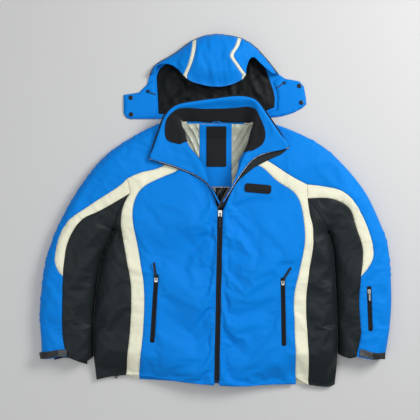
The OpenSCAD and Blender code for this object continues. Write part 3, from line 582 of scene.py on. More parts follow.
# %% Woven cloth in any colour
def woven(name, colour, roughness=0.62, thread=0.55 * MM, sheen=0.02, tone_change=0.16, rib=0.0, soil=0.18,
          shine=0.10):
    cloth = Shader(name, colour, roughness, {"Sheen Weight": sheen, "Sheen Roughness": 0.45,
                                            "Specular IOR Level": shine})
    across, along, _ = cloth.axes(cloth.uv())
    turn = 2 * math.pi / thread
    warp, weft = (across * turn).sine(), (along * turn).sine()
    weave = warp * weft * 0.5 + 0.5
    place = cloth.place()
    slow = cloth.cloud(place, 9, 4)
    fine = cloth.cloud(place, 420, 2)
    near_seam = cloth.node("ShaderNodeAttribute", {"attribute_name": "seam"}, {}, 2)
    dirt = (near_seam * (cloth.cloud(place, 60, 4) - 0.2)).clamped() * soil
    shade = (slow - 0.5) * tone_change + (fine - 0.5) * 0.10 + (weave - 0.5) * 0.08
    tinted = cloth.mixed((shade + 0.5).clamped(), tone(colour, 0.72), tone(colour, 1.28))
    cloth.feed("Base Color", cloth.mixed(dirt, tinted, tone(colour, 0.45)))
    cloth.feed("Roughness", (weave * 0.10 + slow * 0.12 + (roughness - 0.11)).clamped(0.05, 0.95))
    ribs = (along * (2 * math.pi / (3.2 * MM))).sine() * rib
    cloth.bump(weave * 0.35 + fine * 0.5 + ribs, 0.25 * MM, 0.6)
    return cloth.material


blue_cloth = woven("shell_blue", (0.0, 0.212, 0.72), 0.62)
cream_cloth = woven("stripe_cream", (0.90, 0.875, 0.63), 0.55, tone_change=0.10)
black_cloth = woven("shell_black", (0.009, 0.014, 0.016), 0.5, tone_change=0.3, shine=0.2)
lining_cloth = woven("lining_black", (0.0035, 0.0055, 0.006), 0.5, 0.9 * MM, soil=0.0, shine=0.14)
padding_cloth = woven("wadding", (0.70, 0.70, 0.66), 0.9, 1.6 * MM, soil=0.0)
print("cloths:", [m.name for m in (blue_cloth, cream_cloth, black_cloth, lining_cloth, padding_cloth)])

# %% [markdown]
# ## The back
# The back lies on the floor, so it is flat but for its edges, which rise to meet the front, and for the neck,
# where it climbs to the collar seam.

# %% Back cloth
back_nodes = ["back_panel", "back_trims", "side_panel_right", "side_panel_left", "sleeve_outer_right",
              "sleeve_outer_left", "sleeve_trim_right", "sleeve_trim_left", "sleeve_under_right",
              "sleeve_under_left"]
floor_gap, neck_rise = 0.4 * MM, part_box("back_panel")[1].z
back = Cloth(back_nodes, 0.0, 6.5 * MM, 15 * MM, turn_guides)
back_turns = np.array([back.flat[i] for i in back.rim if np.abs(turns - back.flat[i]).sum(1).min() < 0.2 * MM])
from_back_turn, which = reach_to(back.flat, back_turns)
back_edge = turn_heights(back_turns)[which]
back_height = floor_gap + (back_edge - floor_gap) * (1 - cushion(from_back_turn, 0.030))
to_neck = np.hypot(back.flat[:, 1] - neck_y, np.maximum(np.abs(back.flat[:, 0]) - 0.095, 0))
back_height = np.maximum(back_height, floor_gap + (neck_rise - floor_gap) * (1 - eased(to_neck / 0.06)))
waves = np.array([noise.noise(Vector((x * 18, y * 18, 8))) + 0.6 for x, y in back.flat])
back_height += 0.5 * MM * waves * eased(from_back_turn / 0.03)
back_points = np.column_stack([back.flat, back_height])
print("back cloth:", len(back.flat), "points; rises to", round(back_height.max() / MM, 1), "mm")

# %% [markdown]
# ## Cutting the cloth into panels
# A panel takes its triangles from both cloths. At a seam its edge turns in by a millimetre, which draws the
# seam as a fine groove. Where front and back meet at a turn their points are merged, so that the fold is round.
# A subdivision surface smooths the triangles, and Solidify gives the shell its thickness on the inside.

# %% Panels
groove = 1.1 * MM
shell_thickness = 1.8 * MM


def panel_part(cloth, points, node, sign):
    faces = cloth.faces[cloth.owner == cloth.nodes.index(node)]
    edges = Cloth.open_edges(faces)
    rim = np.unique(edges)
    used = np.unique(faces)
    to_rim = reach_to(cloth.flat[used], cloth.flat[rim])[0]
    seams = np.setdiff1d(rim, cloth.rim)
    placed = points.copy()
    placed[seams, 2] -= sign * groove
    renumber = {old: new for new, old in enumerate(used)}
    order = [0, 1, 2] if sign > 0 else [2, 1, 0]
    return placed[used], [[renumber[f[i]] for i in order] for f in faces], np.clip(1 - to_rim / 0.012, 0, 1)


def finish_shell(made, thickness, levels=1):
    for polygon in made.data.polygons:
        polygon.use_smooth = True
    if levels:
        smooth = made.modifiers.new("smooth", "SUBSURF")
        smooth.levels = smooth.render_levels = levels
        smooth.boundary_smooth = "PRESERVE_CORNERS"
    wall = made.modifiers.new("wall", "SOLIDIFY")
    wall.thickness, wall.offset = thickness, -1
    wall.use_quality_normals = True


def sewn(name, parts, material, thickness=shell_thickness, levels=1, weld=0.3 * MM):
    """One piece from several (points, faces, seam weights), welded where their points meet."""
    points, faces, weights = [], [], []
    for part_points, part_faces, part_weights in parts:
        faces += [[i + len(points) for i in f] for f in part_faces]
        points += [tuple(p) for p in part_points]
        weights += list(part_weights)
    made = as_object(name, points, faces, material)
    seam = made.data.attributes.new("seam", "FLOAT", "POINT")
    seam.data.foreach_set("value", np.array(weights, np.float32))
    mesh = bmesh.new()
    mesh.from_mesh(made.data)
    bmesh.ops.remove_doubles(mesh, verts=mesh.verts, dist=weld)
    flat_map = mesh.loops.layers.uv.new("flat")
    for face in mesh.faces:
        for loop in face.loops:
            loop[flat_map].uv = loop.vert.co.xy
    mesh.to_mesh(made.data)
    mesh.free()
    finish_shell(made, thickness, levels)
    return made


def dress(piece, body, slot, *nodes):
    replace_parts(piece, *nodes)
    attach(piece, body)
    return piece

# %% Sew the fourteen panels
finishes = {"panel": (blue_cloth, "shell_blue"), "outer": (blue_cloth, "shell_blue"),
            "trim": (cream_cloth, "stripe_cream"), "trims": (cream_cloth, "stripe_cream"),
            "side": (black_cloth, "shell_black"), "under": (black_cloth, "shell_black")}
for node in [*front_nodes, "back_panel", "back_trims"]:
    parts = []
    if node in front_nodes:
        parts.append(panel_part(front, front_points, node, 1))
    if node in back_nodes:
        parts.append(panel_part(back, back_points, node, -1))
    word = "side" if node.startswith("side") else next(w for w in node.split("_") if w in finishes)
    material, slot = finishes[word]
    dress(sewn("cloth_" + node, parts, material), "jacket", slot, node)

# %% [markdown]
# ## Padding, lining and turned-up hem
# These layers hang under the shell at even depths, and show where the jacket is open: at the hem, the cuffs and
# the neck. Each takes its outline from its own CAD node and its height from the cloth that covers it.

# %% Layers inside
turn_room = 11 * MM                      # how far the layers stay from where the shell turns over


def layer_part(cloth, points, lines, depth, sign, ripple=None):
    middle = cloth.flat[cloth.faces].mean(1)
    faces = cloth.faces[inside(middle, lines) & (reach_to(middle, turns)[0] > turn_room)]
    used = np.unique(faces)
    marks = np.array([p for line in lines for p in in_steps(line, 2 * MM)])
    marks = marks[reach_to(marks, turns)[0] > 14 * MM]
    placed = points[used].copy()
    edge = np.isin(used, np.unique(Cloth.open_edges(faces)))
    off, nearest = reach_to(placed[:, :2], marks)
    snapped = edge & (off < 9 * MM)
    placed[snapped, :2] = marks[nearest[snapped]]
    placed[:, 2] -= sign * depth
    if ripple is not None:
        placed[:, 2] += ripple(placed)
    renumber = {old: new for new, old in enumerate(used)}
    order = [0, 1, 2] if sign > 0 else [2, 1, 0]
    return placed, [[renumber[f[i]] for i in order] for f in faces], np.zeros(len(used))

# %% [markdown]
# A lining is cut loose, so it falls in slanting wrinkles beside the neck facing. Its finish is a smooth satin
# with a fine bump for the small wrinkles and patches of painted sheen in its colour, and it turns black below
# the facing, partly as the black lining and partly as painted shade inside the neck opening.

# %% Satin lining and its wrinkles
def neck_wrinkles(points):
    """Slanting wrinkles in the lining on both sides of the neck facing."""
    near = eased((points[:, 1] - 0.04) / 0.04) * (1 - eased((np.abs(points[:, 0]) - 0.11) / 0.04))
    near *= eased((np.abs(points[:, 0]) - 0.034) / 0.02) * (1 - eased((points[:, 1] - 0.19) / 0.03))
    slant = np.array([noise.noise(Vector((70 * abs(x) - 44 * y, 16 * y + 8 * abs(x), 3 + (x > 0))))
                      for x, y, _ in points])
    return near * (1.2 * MM + 5.5 * MM * slant)


satin_cloth = woven("lining_satin", (0.47, 0.50, 0.38), 0.30, 0.35 * MM, 0.05, 0.22, soil=0.0)
yoke = Shader("lining_yoke", (0.47, 0.50, 0.38), 0.34, {"Specular IOR Level": 0.5})
side_x, up_y, _ = yoke.axes(yoke.place())
# Painted sheen: a cloud mixes darker and lighter copies of the satin colour, standing in for light catching the
# satin.
painted_sheen = yoke.cloud(yoke.place(), 30, 4)
satin_with_painted_sheen = yoke.mixed(painted_sheen, (0.36, 0.39, 0.30, 1), (0.58, 0.61, 0.48, 1))
yoke_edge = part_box("facing_piping")[0].y
# Below the facing's lower edge the lining is near black: partly the black lining, partly painted shade inside
# the neck opening.
yoke.feed("Base Color", yoke.mixed(((up_y - yoke_edge) * 900).clamped(), (0.004, 0.005, 0.006, 1), satin_with_painted_sheen))
drift = yoke.cloud(yoke.place(), 14, 3) * 9
folded = (side_x.size() * 330 - up_y * 205 + drift).sine() * 0.5 + 0.5
cross = (side_x.size() * 190 + up_y * 70 + drift * 1.7).sine() * 0.5 + 0.5
yoke.bump(folded * folded + cross * 0.35 + yoke.cloud(yoke.place(), 700, 2) * 0.03, 2.6 * MM, 0.9)

# %% Wadding and lining
lining_depth = 7.0 * MM
layer_depths = {"wadding": (3.8 * MM, 2.8 * MM, padding_cloth, "wadding"),
                "lining": (lining_depth, 0.9 * MM, satin_cloth, "lining_satin")}
for node in ["front_wadding", "front_lining", "back_wadding", "back_lining", "sleeve_wadding", "sleeve_lining"]:
    lines = cut_lines(node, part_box(node)[1].z)
    depth, thickness, material, slot = layer_depths[node.split("_")[1]]
    parts = []
    if node == "back_lining":
        material = yoke.material
    if not node.startswith("back"):
        parts.append(layer_part(front, front_points, lines, depth, 1))
    if not node.startswith("front"):
        parts.append(layer_part(back, back_points, lines, depth, -1,
                                neck_wrinkles if node == "back_lining" else None))
    layer = dress(sewn("layer_" + node, parts, material, thickness, 0, 1e-6), "jacket", slot, node)

# %% Pocket bags, turned hem and inner cuffs
bag_lines = cut_lines("pocket_bags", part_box("pocket_bags")[1].z)
bag_part = layer_part(front, front_points, bag_lines, 8.2 * MM, 1)
bags = sewn("pocket_bag_pair", [bag_part], lining_cloth, 0.8 * MM, 0, 1e-6)
dress(bags, "jacket", "lining_black", "pocket_bags")
hem_lines = cut_lines("hem_band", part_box("hem_band")[1].z)
hem_part = layer_part(front, front_points, hem_lines, 2.1 * MM, 1)
hem = sewn("turned_hem", [hem_part], blue_cloth, 0.8 * MM, 0, 1e-6)
dress(hem, "jacket", "shell_blue", "hem_band")
cuffs_inside = Cloth(["cuff_facings"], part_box("cuff_facings")[1].z, 4 * MM)
nearest = reach_to(cuffs_inside.flat, cuffs)[0]
cuff_height = 2.6 * MM + 5 * MM * eased(nearest / 0.02) * (cuffs_inside.flat[:, 1] > -0.385)
cuff_points = np.column_stack([cuffs_inside.flat, cuff_height])
inner_cuff = sewn("inner_cuffs", [panel_part(cuffs_inside, cuff_points, "cuff_facings", 1)],
                  woven("cuff_knit", (0.010, 0.012, 0.013), 0.8, rib=1.2, soil=0.0), 1.0 * MM)
dress(inner_cuff, "jacket", "shell_black", "cuff_facings")

# %% [markdown]
# ## The collar
# The collar is a padded strip that stands at the back of the neck and falls open over the chest. Its rows run
# from the neck seam to the free edge. They are read from the rim of the CAD collar, made finer with a smooth
# curve, and given a thick section: a roll at the neck, a flat middle and a round edge.

# %% Grids, rims and smooth rows
def underside_rim(node):
    """The points round the lower face of a thin curved CAD sheet, in order. Its side walls stand on them."""
    mesh = welded(node)
    upright = [sorted(e.verts, key=lambda v: v.co.z) for e in mesh.edges
               if (e.verts[0].co.xy - e.verts[1].co.xy).length < 1e-6]
    above = {low.index: high.index for low, high in upright}
    pairs = []
    for edge in mesh.edges:
        ends = [v.index for v in edge.verts]
        thirds = {v.index for f in edge.link_faces for v in f.verts} - set(ends)
        if all(i in above for i in ends) and any(above[i] in thirds for i in ends):
            pairs.append(tuple(ends))
    places = np.array([tuple(v.co) for v in mesh.verts])
    mesh.free()
    return places[max(walked(pairs), key=len)]


def opened(rim, corner, rows):
    """Splits a closed rim into its neck line and its far line, both from one end of the sheet to the other."""
    first = np.abs(rim[:, :2] - corner).sum(1).argmin()
    rim = np.roll(rim, -first, 0)
    if np.linalg.norm(rim[1] - rim[0]) < np.linalg.norm(rim[-1] - rim[0]):
        rim = np.roll(rim[::-1], 1, 0)
    extra = (len(rim) - 2 * rows) // 2
    return rim[:rows], rim[rows + extra:2 * rows + extra][::-1]

# %% Smooth rows and a surface through them
def finer(points, count):
    """A smooth curve through the points, with count steps between two of them."""
    p = np.array(points, float)
    p = np.vstack([2 * p[0] - p[1], p, 2 * p[-1] - p[-2]])
    out = []
    for a, b, c, d in zip(p, p[1:], p[2:], p[3:]):
        for t in np.arange(count) / count:
            out.append(0.5 * (2 * b + (c - a) * t + (2 * a - 5 * b + 4 * c - d) * t ** 2
                              + (3 * b - a - 3 * c + d) * t ** 3))
    return np.array([*out, p[-2]])


def grid_mesh(name, rows, material, loop_rows=False, loop_columns=False, flip=False):
    """A surface through rows of points, with a UV map in metres."""
    rows = np.array(rows)
    m, n = rows.shape[:2]
    faces = []
    for j in range(m if loop_rows else m - 1):
        for i in range(n if loop_columns else n - 1):
            face = [j * n + i, j * n + (i + 1) % n, (j + 1) % m * n + (i + 1) % n, (j + 1) % m * n + i]
            faces.append(face[::-1] if flip else face)
    made = as_object(name, rows.reshape(-1, 3), faces, material)
    across = np.linalg.norm(np.diff(rows, axis=1, append=rows[:, :1]), axis=2).mean(0).cumsum()
    along = np.linalg.norm(np.diff(rows, axis=0, append=rows[:1]), axis=2).mean(1).cumsum()
    flat_map = made.data.uv_layers.new(name="flat")
    for loop in made.data.loops:
        j, i = divmod(loop.vertex_index, n)
        flat_map.data[loop.index].uv = (across[i], along[j])
    for polygon in made.data.polygons:
        polygon.use_smooth = True
    return made

# %% Collar rows and their section
row_count, fleece_count = 23, 13
neck_line, free_line = opened(underside_rim("collar_shell"), (0.010, 0.016), row_count)
fleece_neck, fleece_far = opened(underside_rim("collar_fleece"), neck_line[5, :2], fleece_count)
fleece_share = (np.linalg.norm(fleece_far - fleece_neck, axis=1)
                / np.linalg.norm(free_line[5:5 + fleece_count] - fleece_neck, axis=1))
fine_rows = 7
neck_fine, free_fine = finer(neck_line, fine_rows), finer(free_line, fine_rows)
share_fine = finer(np.column_stack([fleece_share, fleece_share]), fine_rows)[:, 0]
stand_depth = 11 * MM


def collar_point(neck, free, s, lift, lower=False):
    """A point s metres out from the neck seam, or down inside it for a negative s, lifted off the row."""
    row = free - neck
    width = np.linalg.norm(row)
    outward = np.array([row[0], row[1], 0]) / max(np.hypot(row[0], row[1]), 1e-6)
    along = row / width
    normal = np.array([0, 0, 1.0]) - along[2] * along
    normal /= np.linalg.norm(normal)
    edge = float(cushion(np.array(min(max(width - s, 0), 8 * MM)), min(8 * MM, width / 2), 2))
    roll = math.exp(-(max(s, 0) / 0.016) ** 2)
    soft = min(1, width / 0.03)
    if s < 0:
        share = 1 + s / stand_depth
        away = -outward * (1 - share) + normal * share
        return neck + np.array([0, 0, s]) + away / np.linalg.norm(away) * (lift + 3.5 * MM * soft)
    if lower:
        return neck + along * s + normal * 0.4 * MM
    return neck + along * s + normal * (0.4 * MM + lift * edge + 3.5 * MM * roll * soft * edge)


def collar_grid(rows, s_values, lift, ripple=0.0, lower=False):
    grid = []
    for k, (neck, free) in enumerate(rows):
        width = np.linalg.norm(free - neck)
        line = []
        for s in s_values(k, width):
            wave = ripple * noise.noise(Vector((k * 0.16, s * 60, 5)))
            line.append(collar_point(neck, free, s, lift + wave, lower))
        grid.append(line)
    return grid


collar_rows = list(zip(neck_fine, free_fine))
pad_lift = 5.6 * MM


def inner_steps(k, width):
    reach = stand_depth * min(1, width / 0.04)
    return [*np.linspace(-reach, 0, 5)[:-1], *(width * eased(np.linspace(0, 1, 22)))]


def outer_steps(k, width):
    return width * eased(np.linspace(0, 1, 14))


collar_inner = grid_mesh("collar_inner", collar_grid(collar_rows, inner_steps, pad_lift, 2.2 * MM),
                         blue_cloth, flip=True)
collar_outer = grid_mesh("collar_outer", collar_grid(collar_rows, outer_steps, 0, lower=True), blue_cloth)
fleece_rows = collar_rows[5 * fine_rows:(5 + fleece_count - 1) * fine_rows + 1]


def fleece_steps(k, width):
    return np.concatenate([np.linspace(-stand_depth, 0, 5)[:-1], np.linspace(0, width * share_fine[k], 14)])

# %% Fleece, and the three plies of the collar
fleece = Shader("fleece_black", (0.006, 0.007, 0.008), 0.95, {"Sheen Weight": 0.05, "Sheen Roughness": 0.6,
                                                               "Specular IOR Level": 0.15})
pile = fleece.cloud(fleece.place(), 900, 4, 0.7)
fleece.feed("Base Color", fleece.mixed(pile, (0.003, 0.0035, 0.004, 1), (0.022, 0.024, 0.027, 1)))
fleece.bump(pile + fleece.cloud(fleece.place(), 160, 3) * 0.8, 1.2 * MM, 0.9)
fleece_grid = collar_grid(fleece_rows, fleece_steps, pad_lift + 1.5 * MM, 2.2 * MM)
collar_fleece = grid_mesh("collar_fleece_pile", fleece_grid, fleece.material, flip=True)
for piece, thickness, slot, node in [(collar_inner, 1.4 * MM, "shell_blue", "collar_facing"),
                                     (collar_outer, 1.4 * MM, "shell_blue", "collar_shell"),
                                     (collar_fleece, 1.8 * MM, "fleece_black", "collar_fleece")]:
    finish_shell(piece, thickness, 1)
    dress(piece, "jacket", slot, node)
widest = max(np.linalg.norm(b - a) for a, b in collar_rows)
print("collar:", len(collar_rows), "rows; widest", round(widest / MM), "mm")

# %% [markdown]
# ## Inside the neck
# Through the open collar show the back lining, a shell-cloth facing with a woven label and a hanger loop on it,
# and a thin silver piping along the facing's lower edge. The thin pieces are cloths of their own, laid at the
# height their CAD nodes have. Small moulded or woven pieces are slabs cut to the CAD outline with soft edges.

# %% A small cloth of its own
def small_cloth(name, node, level, material, thickness, step=5 * MM, wave=0.0, lift=None):
    cloth = Cloth([node], level, step)
    heights = np.full(len(cloth.flat), level)
    heights += wave * np.array([noise.noise(Vector((x * 30, y * 22, 2))) for x, y in cloth.flat])
    if lift is not None:
        heights += lift(cloth.flat)
    part = panel_part(cloth, np.column_stack([cloth.flat, heights]), node, 1)
    return sewn(name, [part], material, thickness, 1)

# %% Slabs, joined pieces and tubes
def slab(name, outlines, low, high, material, bevel=0.5 * MM, segments=2):
    """Flat outlines made into a plate with soft edges, from one height to another."""
    mesh = bmesh.new()
    for outline in outlines:
        mesh.faces.new([mesh.verts.new((*p, low)) for p in outline])
    mesh.normal_update()
    for face in list(mesh.faces):
        if face.normal.z > 0:
            face.normal_flip()
    grown = bmesh.ops.extrude_face_region(mesh, geom=list(mesh.faces))
    tops = [g for g in grown["geom"] if isinstance(g, bmesh.types.BMVert)]
    for vert in tops:
        vert.co.z = high
    mesh.normal_update()
    bmesh.ops.recalc_face_normals(mesh, faces=mesh.faces)
    sharp = [e for e in mesh.edges if len(e.link_faces) == 2 and e.calc_face_angle() > 0.6
             and (abs(e.verts[0].co.z - e.verts[1].co.z) < 1e-7)]
    bmesh.ops.bevel(mesh, geom=sharp, offset=bevel, segments=segments, profile=0.5, affect="EDGES",
                    clamp_overlap=True)
    flat_map = mesh.loops.layers.uv.new("flat")
    for face in mesh.faces:
        face.smooth = True
        for loop in face.loops:
            loop[flat_map].uv = loop.vert.co.xy
    data = bpy.data.meshes.new(name)
    mesh.to_mesh(data)
    mesh.free()
    data.materials.append(material)
    made = bpy.data.objects.new(name, data)
    bpy.context.scene.collection.objects.link(made)
    return made


def joined(name, pieces):
    """Several meshes as one piece."""
    mesh = bmesh.new()
    materials = []
    for piece in pieces:
        start = len(mesh.faces)
        mesh.from_mesh(piece.data)
        mesh.faces.ensure_lookup_table()
        for material in piece.data.materials:
            if material not in materials:
                materials.append(material)
        for face in mesh.faces[start:]:
            face.material_index = materials.index(piece.data.materials[face.material_index])
    data = bpy.data.meshes.new(name)
    mesh.to_mesh(data)
    mesh.free()
    for material in materials:
        data.materials.append(material)
    for piece in pieces:
        bpy.data.objects.remove(piece)
    made = bpy.data.objects.new(name, data)
    bpy.context.scene.collection.objects.link(made)
    return made


def tube(name, path, radius, material, sides=10, flatten=1.0, closed_ends=True):
    """A round or flattened tube along a path, with its own UV map running along it."""
    path = np.array(path, float)
    rows = []
    for i, p in enumerate(path):
        forward = path[min(i + 1, len(path) - 1)] - path[max(i - 1, 0)]
        forward /= np.linalg.norm(forward)
        side_way = np.cross(forward, (0, 0, 1))
        upright = np.linalg.norm(side_way) < 1e-6
        side_way = np.array([1.0, 0, 0]) if upright else side_way / np.linalg.norm(side_way)
        up = np.cross(side_way, forward)
        end = min(i, len(path) - 1 - i)
        r = radius * (0.5 if closed_ends and end == 0 else 1)
        rows.append([p + r * (math.cos(a) * side_way + flatten * math.sin(a) * up)
                     for a in np.arange(sides) * 2 * math.pi / sides])
    if closed_ends:
        rows = [[path[0]] * sides, *rows, [path[-1]] * sides]
    made = grid_mesh(name, rows, material, loop_columns=True)
    mesh = bmesh.new()
    mesh.from_mesh(made.data)
    bmesh.ops.remove_doubles(mesh, verts=mesh.verts, dist=1e-7)
    bmesh.ops.recalc_face_normals(mesh, faces=mesh.faces)
    mesh.to_mesh(made.data)
    mesh.free()
    return made

# %% The neck facing rests on the lining
front_tree = BVHTree.FromPolygons([tuple(p) for p in front_points], front.faces.tolist())
back_tree = BVHTree.FromPolygons([tuple(p) for p in back_points], back.faces.tolist())


def height_over(tree, flat, missing):
    """Height of a cloth above some flat points."""
    found = [tree.ray_cast(Vector((p[0], p[1], 0.3)), Vector((0, 0, -1)))[0] for p in flat]
    return np.array([missing if hit is None else hit.z for hit in found])


neck_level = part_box("neck_facing")[1].z


def on_lining(gap):
    return lambda flat: height_over(back_tree, flat, 0.0) + lining_depth + gap


facing = small_cloth("neck_facing_cloth", "neck_facing", neck_level, blue_cloth, 0.9 * MM, wave=0.7 * MM,
                     lift=lambda flat: on_lining(2.4 * MM)(flat) - neck_level)
dress(facing, "jacket", "shell_blue", "neck_facing")
piping_low, piping_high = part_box("facing_piping")
silver = Shader("piping_silver", (0.55, 0.56, 0.57), 0.3, {"Metallic": 0.6})
silver.bump(silver.cloud(silver.place(), 700, 2), 0.2 * MM, 0.5)
piping_y = (piping_low.y + piping_high.y) / 2
piping_z = float(on_lining(1.6 * MM)(np.array([[0.0, piping_y]]))[0])
piping = tube("facing_piping_cord", [(x, piping_y, piping_z) for x in
                                     np.linspace(piping_low.x, piping_high.x, 22)], 1.25 * MM, silver.material)
dress(piping, "jacket", "piping_silver", "facing_piping")

# %% Ribbed label, hanger and storm flap
label = Shader("label_black", (0.008, 0.009, 0.010), 0.6, {"Specular IOR Level": 0.15})
across, along, _ = label.axes(label.place())
ribs = (across * (2 * math.pi / (4.2 * MM))).sine() * 0.5 + 0.5
threads = (along * (2 * math.pi / (0.7 * MM))).sine() * 0.5 + 0.5
label.feed("Base Color", label.mixed(ribs * 0.5 + threads * 0.3, (0.004, 0.005, 0.006, 1),
                                     (0.020, 0.022, 0.025, 1)))
label.bump(ribs * 0.8 + threads * 0.4, 0.4 * MM, 0.8)
label_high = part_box("neck_label")[1].z
label_piece = small_cloth("neck_label_cloth", "neck_label", label_high, label.material, 1.1 * MM, 4 * MM,
                          wave=0.7 * MM, lift=lambda flat: on_lining(3.9 * MM)(flat) - label_high)
dress(label_piece, "jacket", "label_black", "neck_label")
loop_low, loop_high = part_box("hanger_loop")
loop_r = (loop_high.x - loop_low.x) / 2 - 1.8 * MM
loop_centre = ((loop_low.x + loop_high.x) / 2, loop_low.y)
loop_path = [(loop_centre[0] + loop_r * math.cos(a), loop_centre[1] + loop_r * math.sin(a),
              loop_low.z + 13 * MM + 4 * MM * math.sin(a)) for a in np.linspace(0, math.pi, 25)]
hanger = tube("hanger_tape", loop_path, 1.9 * MM, blue_cloth, 10, 0.42)
dress(hanger, "jacket", "shell_blue", "hanger_loop")
flap_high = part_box("storm_flap")[1].z
wedge = small_cloth("flap_wedge", "storm_flap", flap_high, black_cloth, 0.9 * MM)
band_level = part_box("front_zip_coil")[0].z - 1.9 * MM
print("storm flap wedge at", round(flap_high / MM, 1), "mm, its band at", round(band_level / MM, 1))

# %% [markdown]
# ## Zips
# The zips are reverse coil zips: only the woven tapes show, and the coil runs underneath. Where the front is
# open, its edges turn outwards and the teeth show as a bright line. The teeth repeat, so Geometry Nodes place
# them: a path is resampled to the pitch, and a small rounded bar stands on each point, turned along the path.

# %% A Geometry Nodes tree that repeats a small bar along paths
def bar_tree():
    tree = bpy.data.node_groups.new("bars_along_paths", "GeometryNodeTree")
    face = tree.interface
    face.new_socket("Geometry", in_out="INPUT", socket_type="NodeSocketGeometry")
    for name, default in [("Pitch", 0.003), ("Length", 0.002), ("Width", 0.001), ("Height", 0.001)]:
        socket = face.new_socket(name, in_out="INPUT", socket_type="NodeSocketFloat")
        socket.default_value = default
    face.new_socket("Material", in_out="INPUT", socket_type="NodeSocketMaterial")
    face.new_socket("Geometry", in_out="OUTPUT", socket_type="NodeSocketGeometry")
    add = tree.nodes.new
    source, result = add("NodeGroupInput"), add("NodeGroupOutput")
    curve, even, bars = add("GeometryNodeMeshToCurve"), add("GeometryNodeResampleCurve"), add(
        "GeometryNodeInstanceOnPoints")
    even.mode = "LENGTH"
    ball, stretch, tangent = add("GeometryNodeMeshUVSphere"), add("ShaderNodeCombineXYZ"), add(
        "GeometryNodeInputTangent")
    ball.inputs["Segments"].default_value, ball.inputs["Rings"].default_value = 6, 4
    ball.inputs["Radius"].default_value = 0.5
    along = add("FunctionNodeAlignRotationToVector")
    along.axis = "X"
    real, paint = add("GeometryNodeRealizeInstances"), add("GeometryNodeSetMaterial")
    link = tree.links.new
    link(source.outputs["Geometry"], curve.inputs["Mesh"])
    link(curve.outputs["Curve"], even.inputs["Curve"])
    link(source.outputs["Pitch"], even.inputs["Length"])
    link(even.outputs["Curve"], bars.inputs["Points"])
    link(ball.outputs["Mesh"], bars.inputs["Instance"])
    link(tangent.outputs["Tangent"], along.inputs["Vector"])
    link(along.outputs["Rotation"], bars.inputs["Rotation"])
    for axis, name in zip("XYZ", ("Length", "Width", "Height")):
        link(source.outputs[name], stretch.inputs[axis])
    link(stretch.outputs["Vector"], bars.inputs["Scale"])
    link(bars.outputs["Instances"], real.inputs["Geometry"])
    link(real.outputs["Geometry"], paint.inputs["Geometry"])
    link(source.outputs["Material"], paint.inputs["Material"])
    link(paint.outputs["Geometry"], result.inputs["Geometry"])
    return tree


bars_along_paths = bar_tree()

# %% Run the tree and keep a plain mesh
def repeated(name, paths, pitch, size, material):
    """Bars of size (length, width, height) along the paths, as one plain mesh."""
    points, edges = [], []
    for path in paths:
        edges += [(len(points) + i, len(points) + i + 1) for i in range(len(path) - 1)]
        points += [tuple(p) for p in path]
    carrier = bpy.data.meshes.new(name + "_paths")
    carrier.from_pydata(points, edges, [])
    holder = bpy.data.objects.new(name + "_paths", carrier)
    bpy.context.scene.collection.objects.link(holder)
    modifier = holder.modifiers.new("bars", "NODES")
    modifier.node_group = bars_along_paths
    values = dict(zip(("Pitch", "Length", "Width", "Height"), (pitch, *size)))
    values["Material"] = material
    for item in bars_along_paths.interface.items_tree:
        if item.in_out == "INPUT" and item.name in values:
            modifier[item.identifier] = values[item.name]
    data = bpy.data.meshes.new_from_object(holder.evaluated_get(bpy.context.evaluated_depsgraph_get()))
    bpy.data.objects.remove(holder)
    data.name = name
    if not data.materials:
        data.materials.append(material)
    for polygon in data.polygons:
        polygon.use_smooth = True
    made = bpy.data.objects.new(name, data)
    bpy.context.scene.collection.objects.link(made)
    return made

# %% Metal, tape and rubber
def brushed(name, colour, roughness):
    metal = Shader(name, colour, roughness, {"Metallic": 1.0})
    place = metal.place((1, 1, 1))
    scratches = metal.cloud(metal.place((300, 2600, 300)), 1, 3)
    tarnish = metal.cloud(place, 190, 4)
    metal.feed("Base Color", metal.mixed(tarnish, tone(colour, 0.75), tone(colour, 1.1)))
    metal.feed("Roughness", (scratches * 0.2 + tarnish * 0.15 + (roughness - 0.15)).clamped(0.08, 0.9))
    metal.bump(scratches, 0.05 * MM, 0.4)
    return metal.material


def moulded(name, colour, roughness, grain=900):
    rubber = Shader(name, colour, roughness, {"Specular IOR Level": 0.16})
    speckle = rubber.cloud(rubber.place(), grain, 3)
    worn = rubber.cloud(rubber.place(), 55, 4)
    rubber.feed("Base Color", rubber.mixed((worn * 0.8 + speckle * 0.2).clamped(), tone(colour, 0.7),
                                           tone(colour, 1.5)))
    rubber.feed("Roughness", (speckle * 0.15 + worn * 0.15 + (roughness - 0.15)).clamped())
    rubber.bump(speckle, 0.12 * MM, 0.5)
    return rubber.material


def taped(name, colour):
    tape = Shader(name, colour, 0.75, {"Sheen Weight": 0.04, "Specular IOR Level": 0.15})
    across, along, _ = tape.axes(tape.uv())
    zigzag = ((across * 900).sine().size() * 1.6 + along * (2 * math.pi / (1.3 * MM))).sine() * 0.5 + 0.5
    fluff = tape.cloud(tape.place(), 500, 3)
    tape.feed("Base Color", tape.mixed((zigzag * 0.5 + fluff * 0.5).clamped(), tone(colour, 0.6),
                                       tone(colour, 1.7)))
    tape.bump(zigzag * 0.8 + fluff * 0.4, 0.3 * MM, 0.7)
    return tape.material

# %% Metals, tapes and plastics of this jacket
silver_metal = brushed("slider_metal", (0.62, 0.62, 0.60), 0.32)
dark_metal = brushed("stud_metal", (0.045, 0.047, 0.05), 0.38)
black_tape = taped("zip_tape", (0.009, 0.010, 0.012))
black_rubber = moulded("pull_rubber", (0.014, 0.016, 0.018), 0.5)
plastic_black = moulded("plastic_black", (0.012, 0.013, 0.015), 0.42)
tooth_metal = brushed("zip_coil", (0.86, 0.86, 0.85), 0.45)

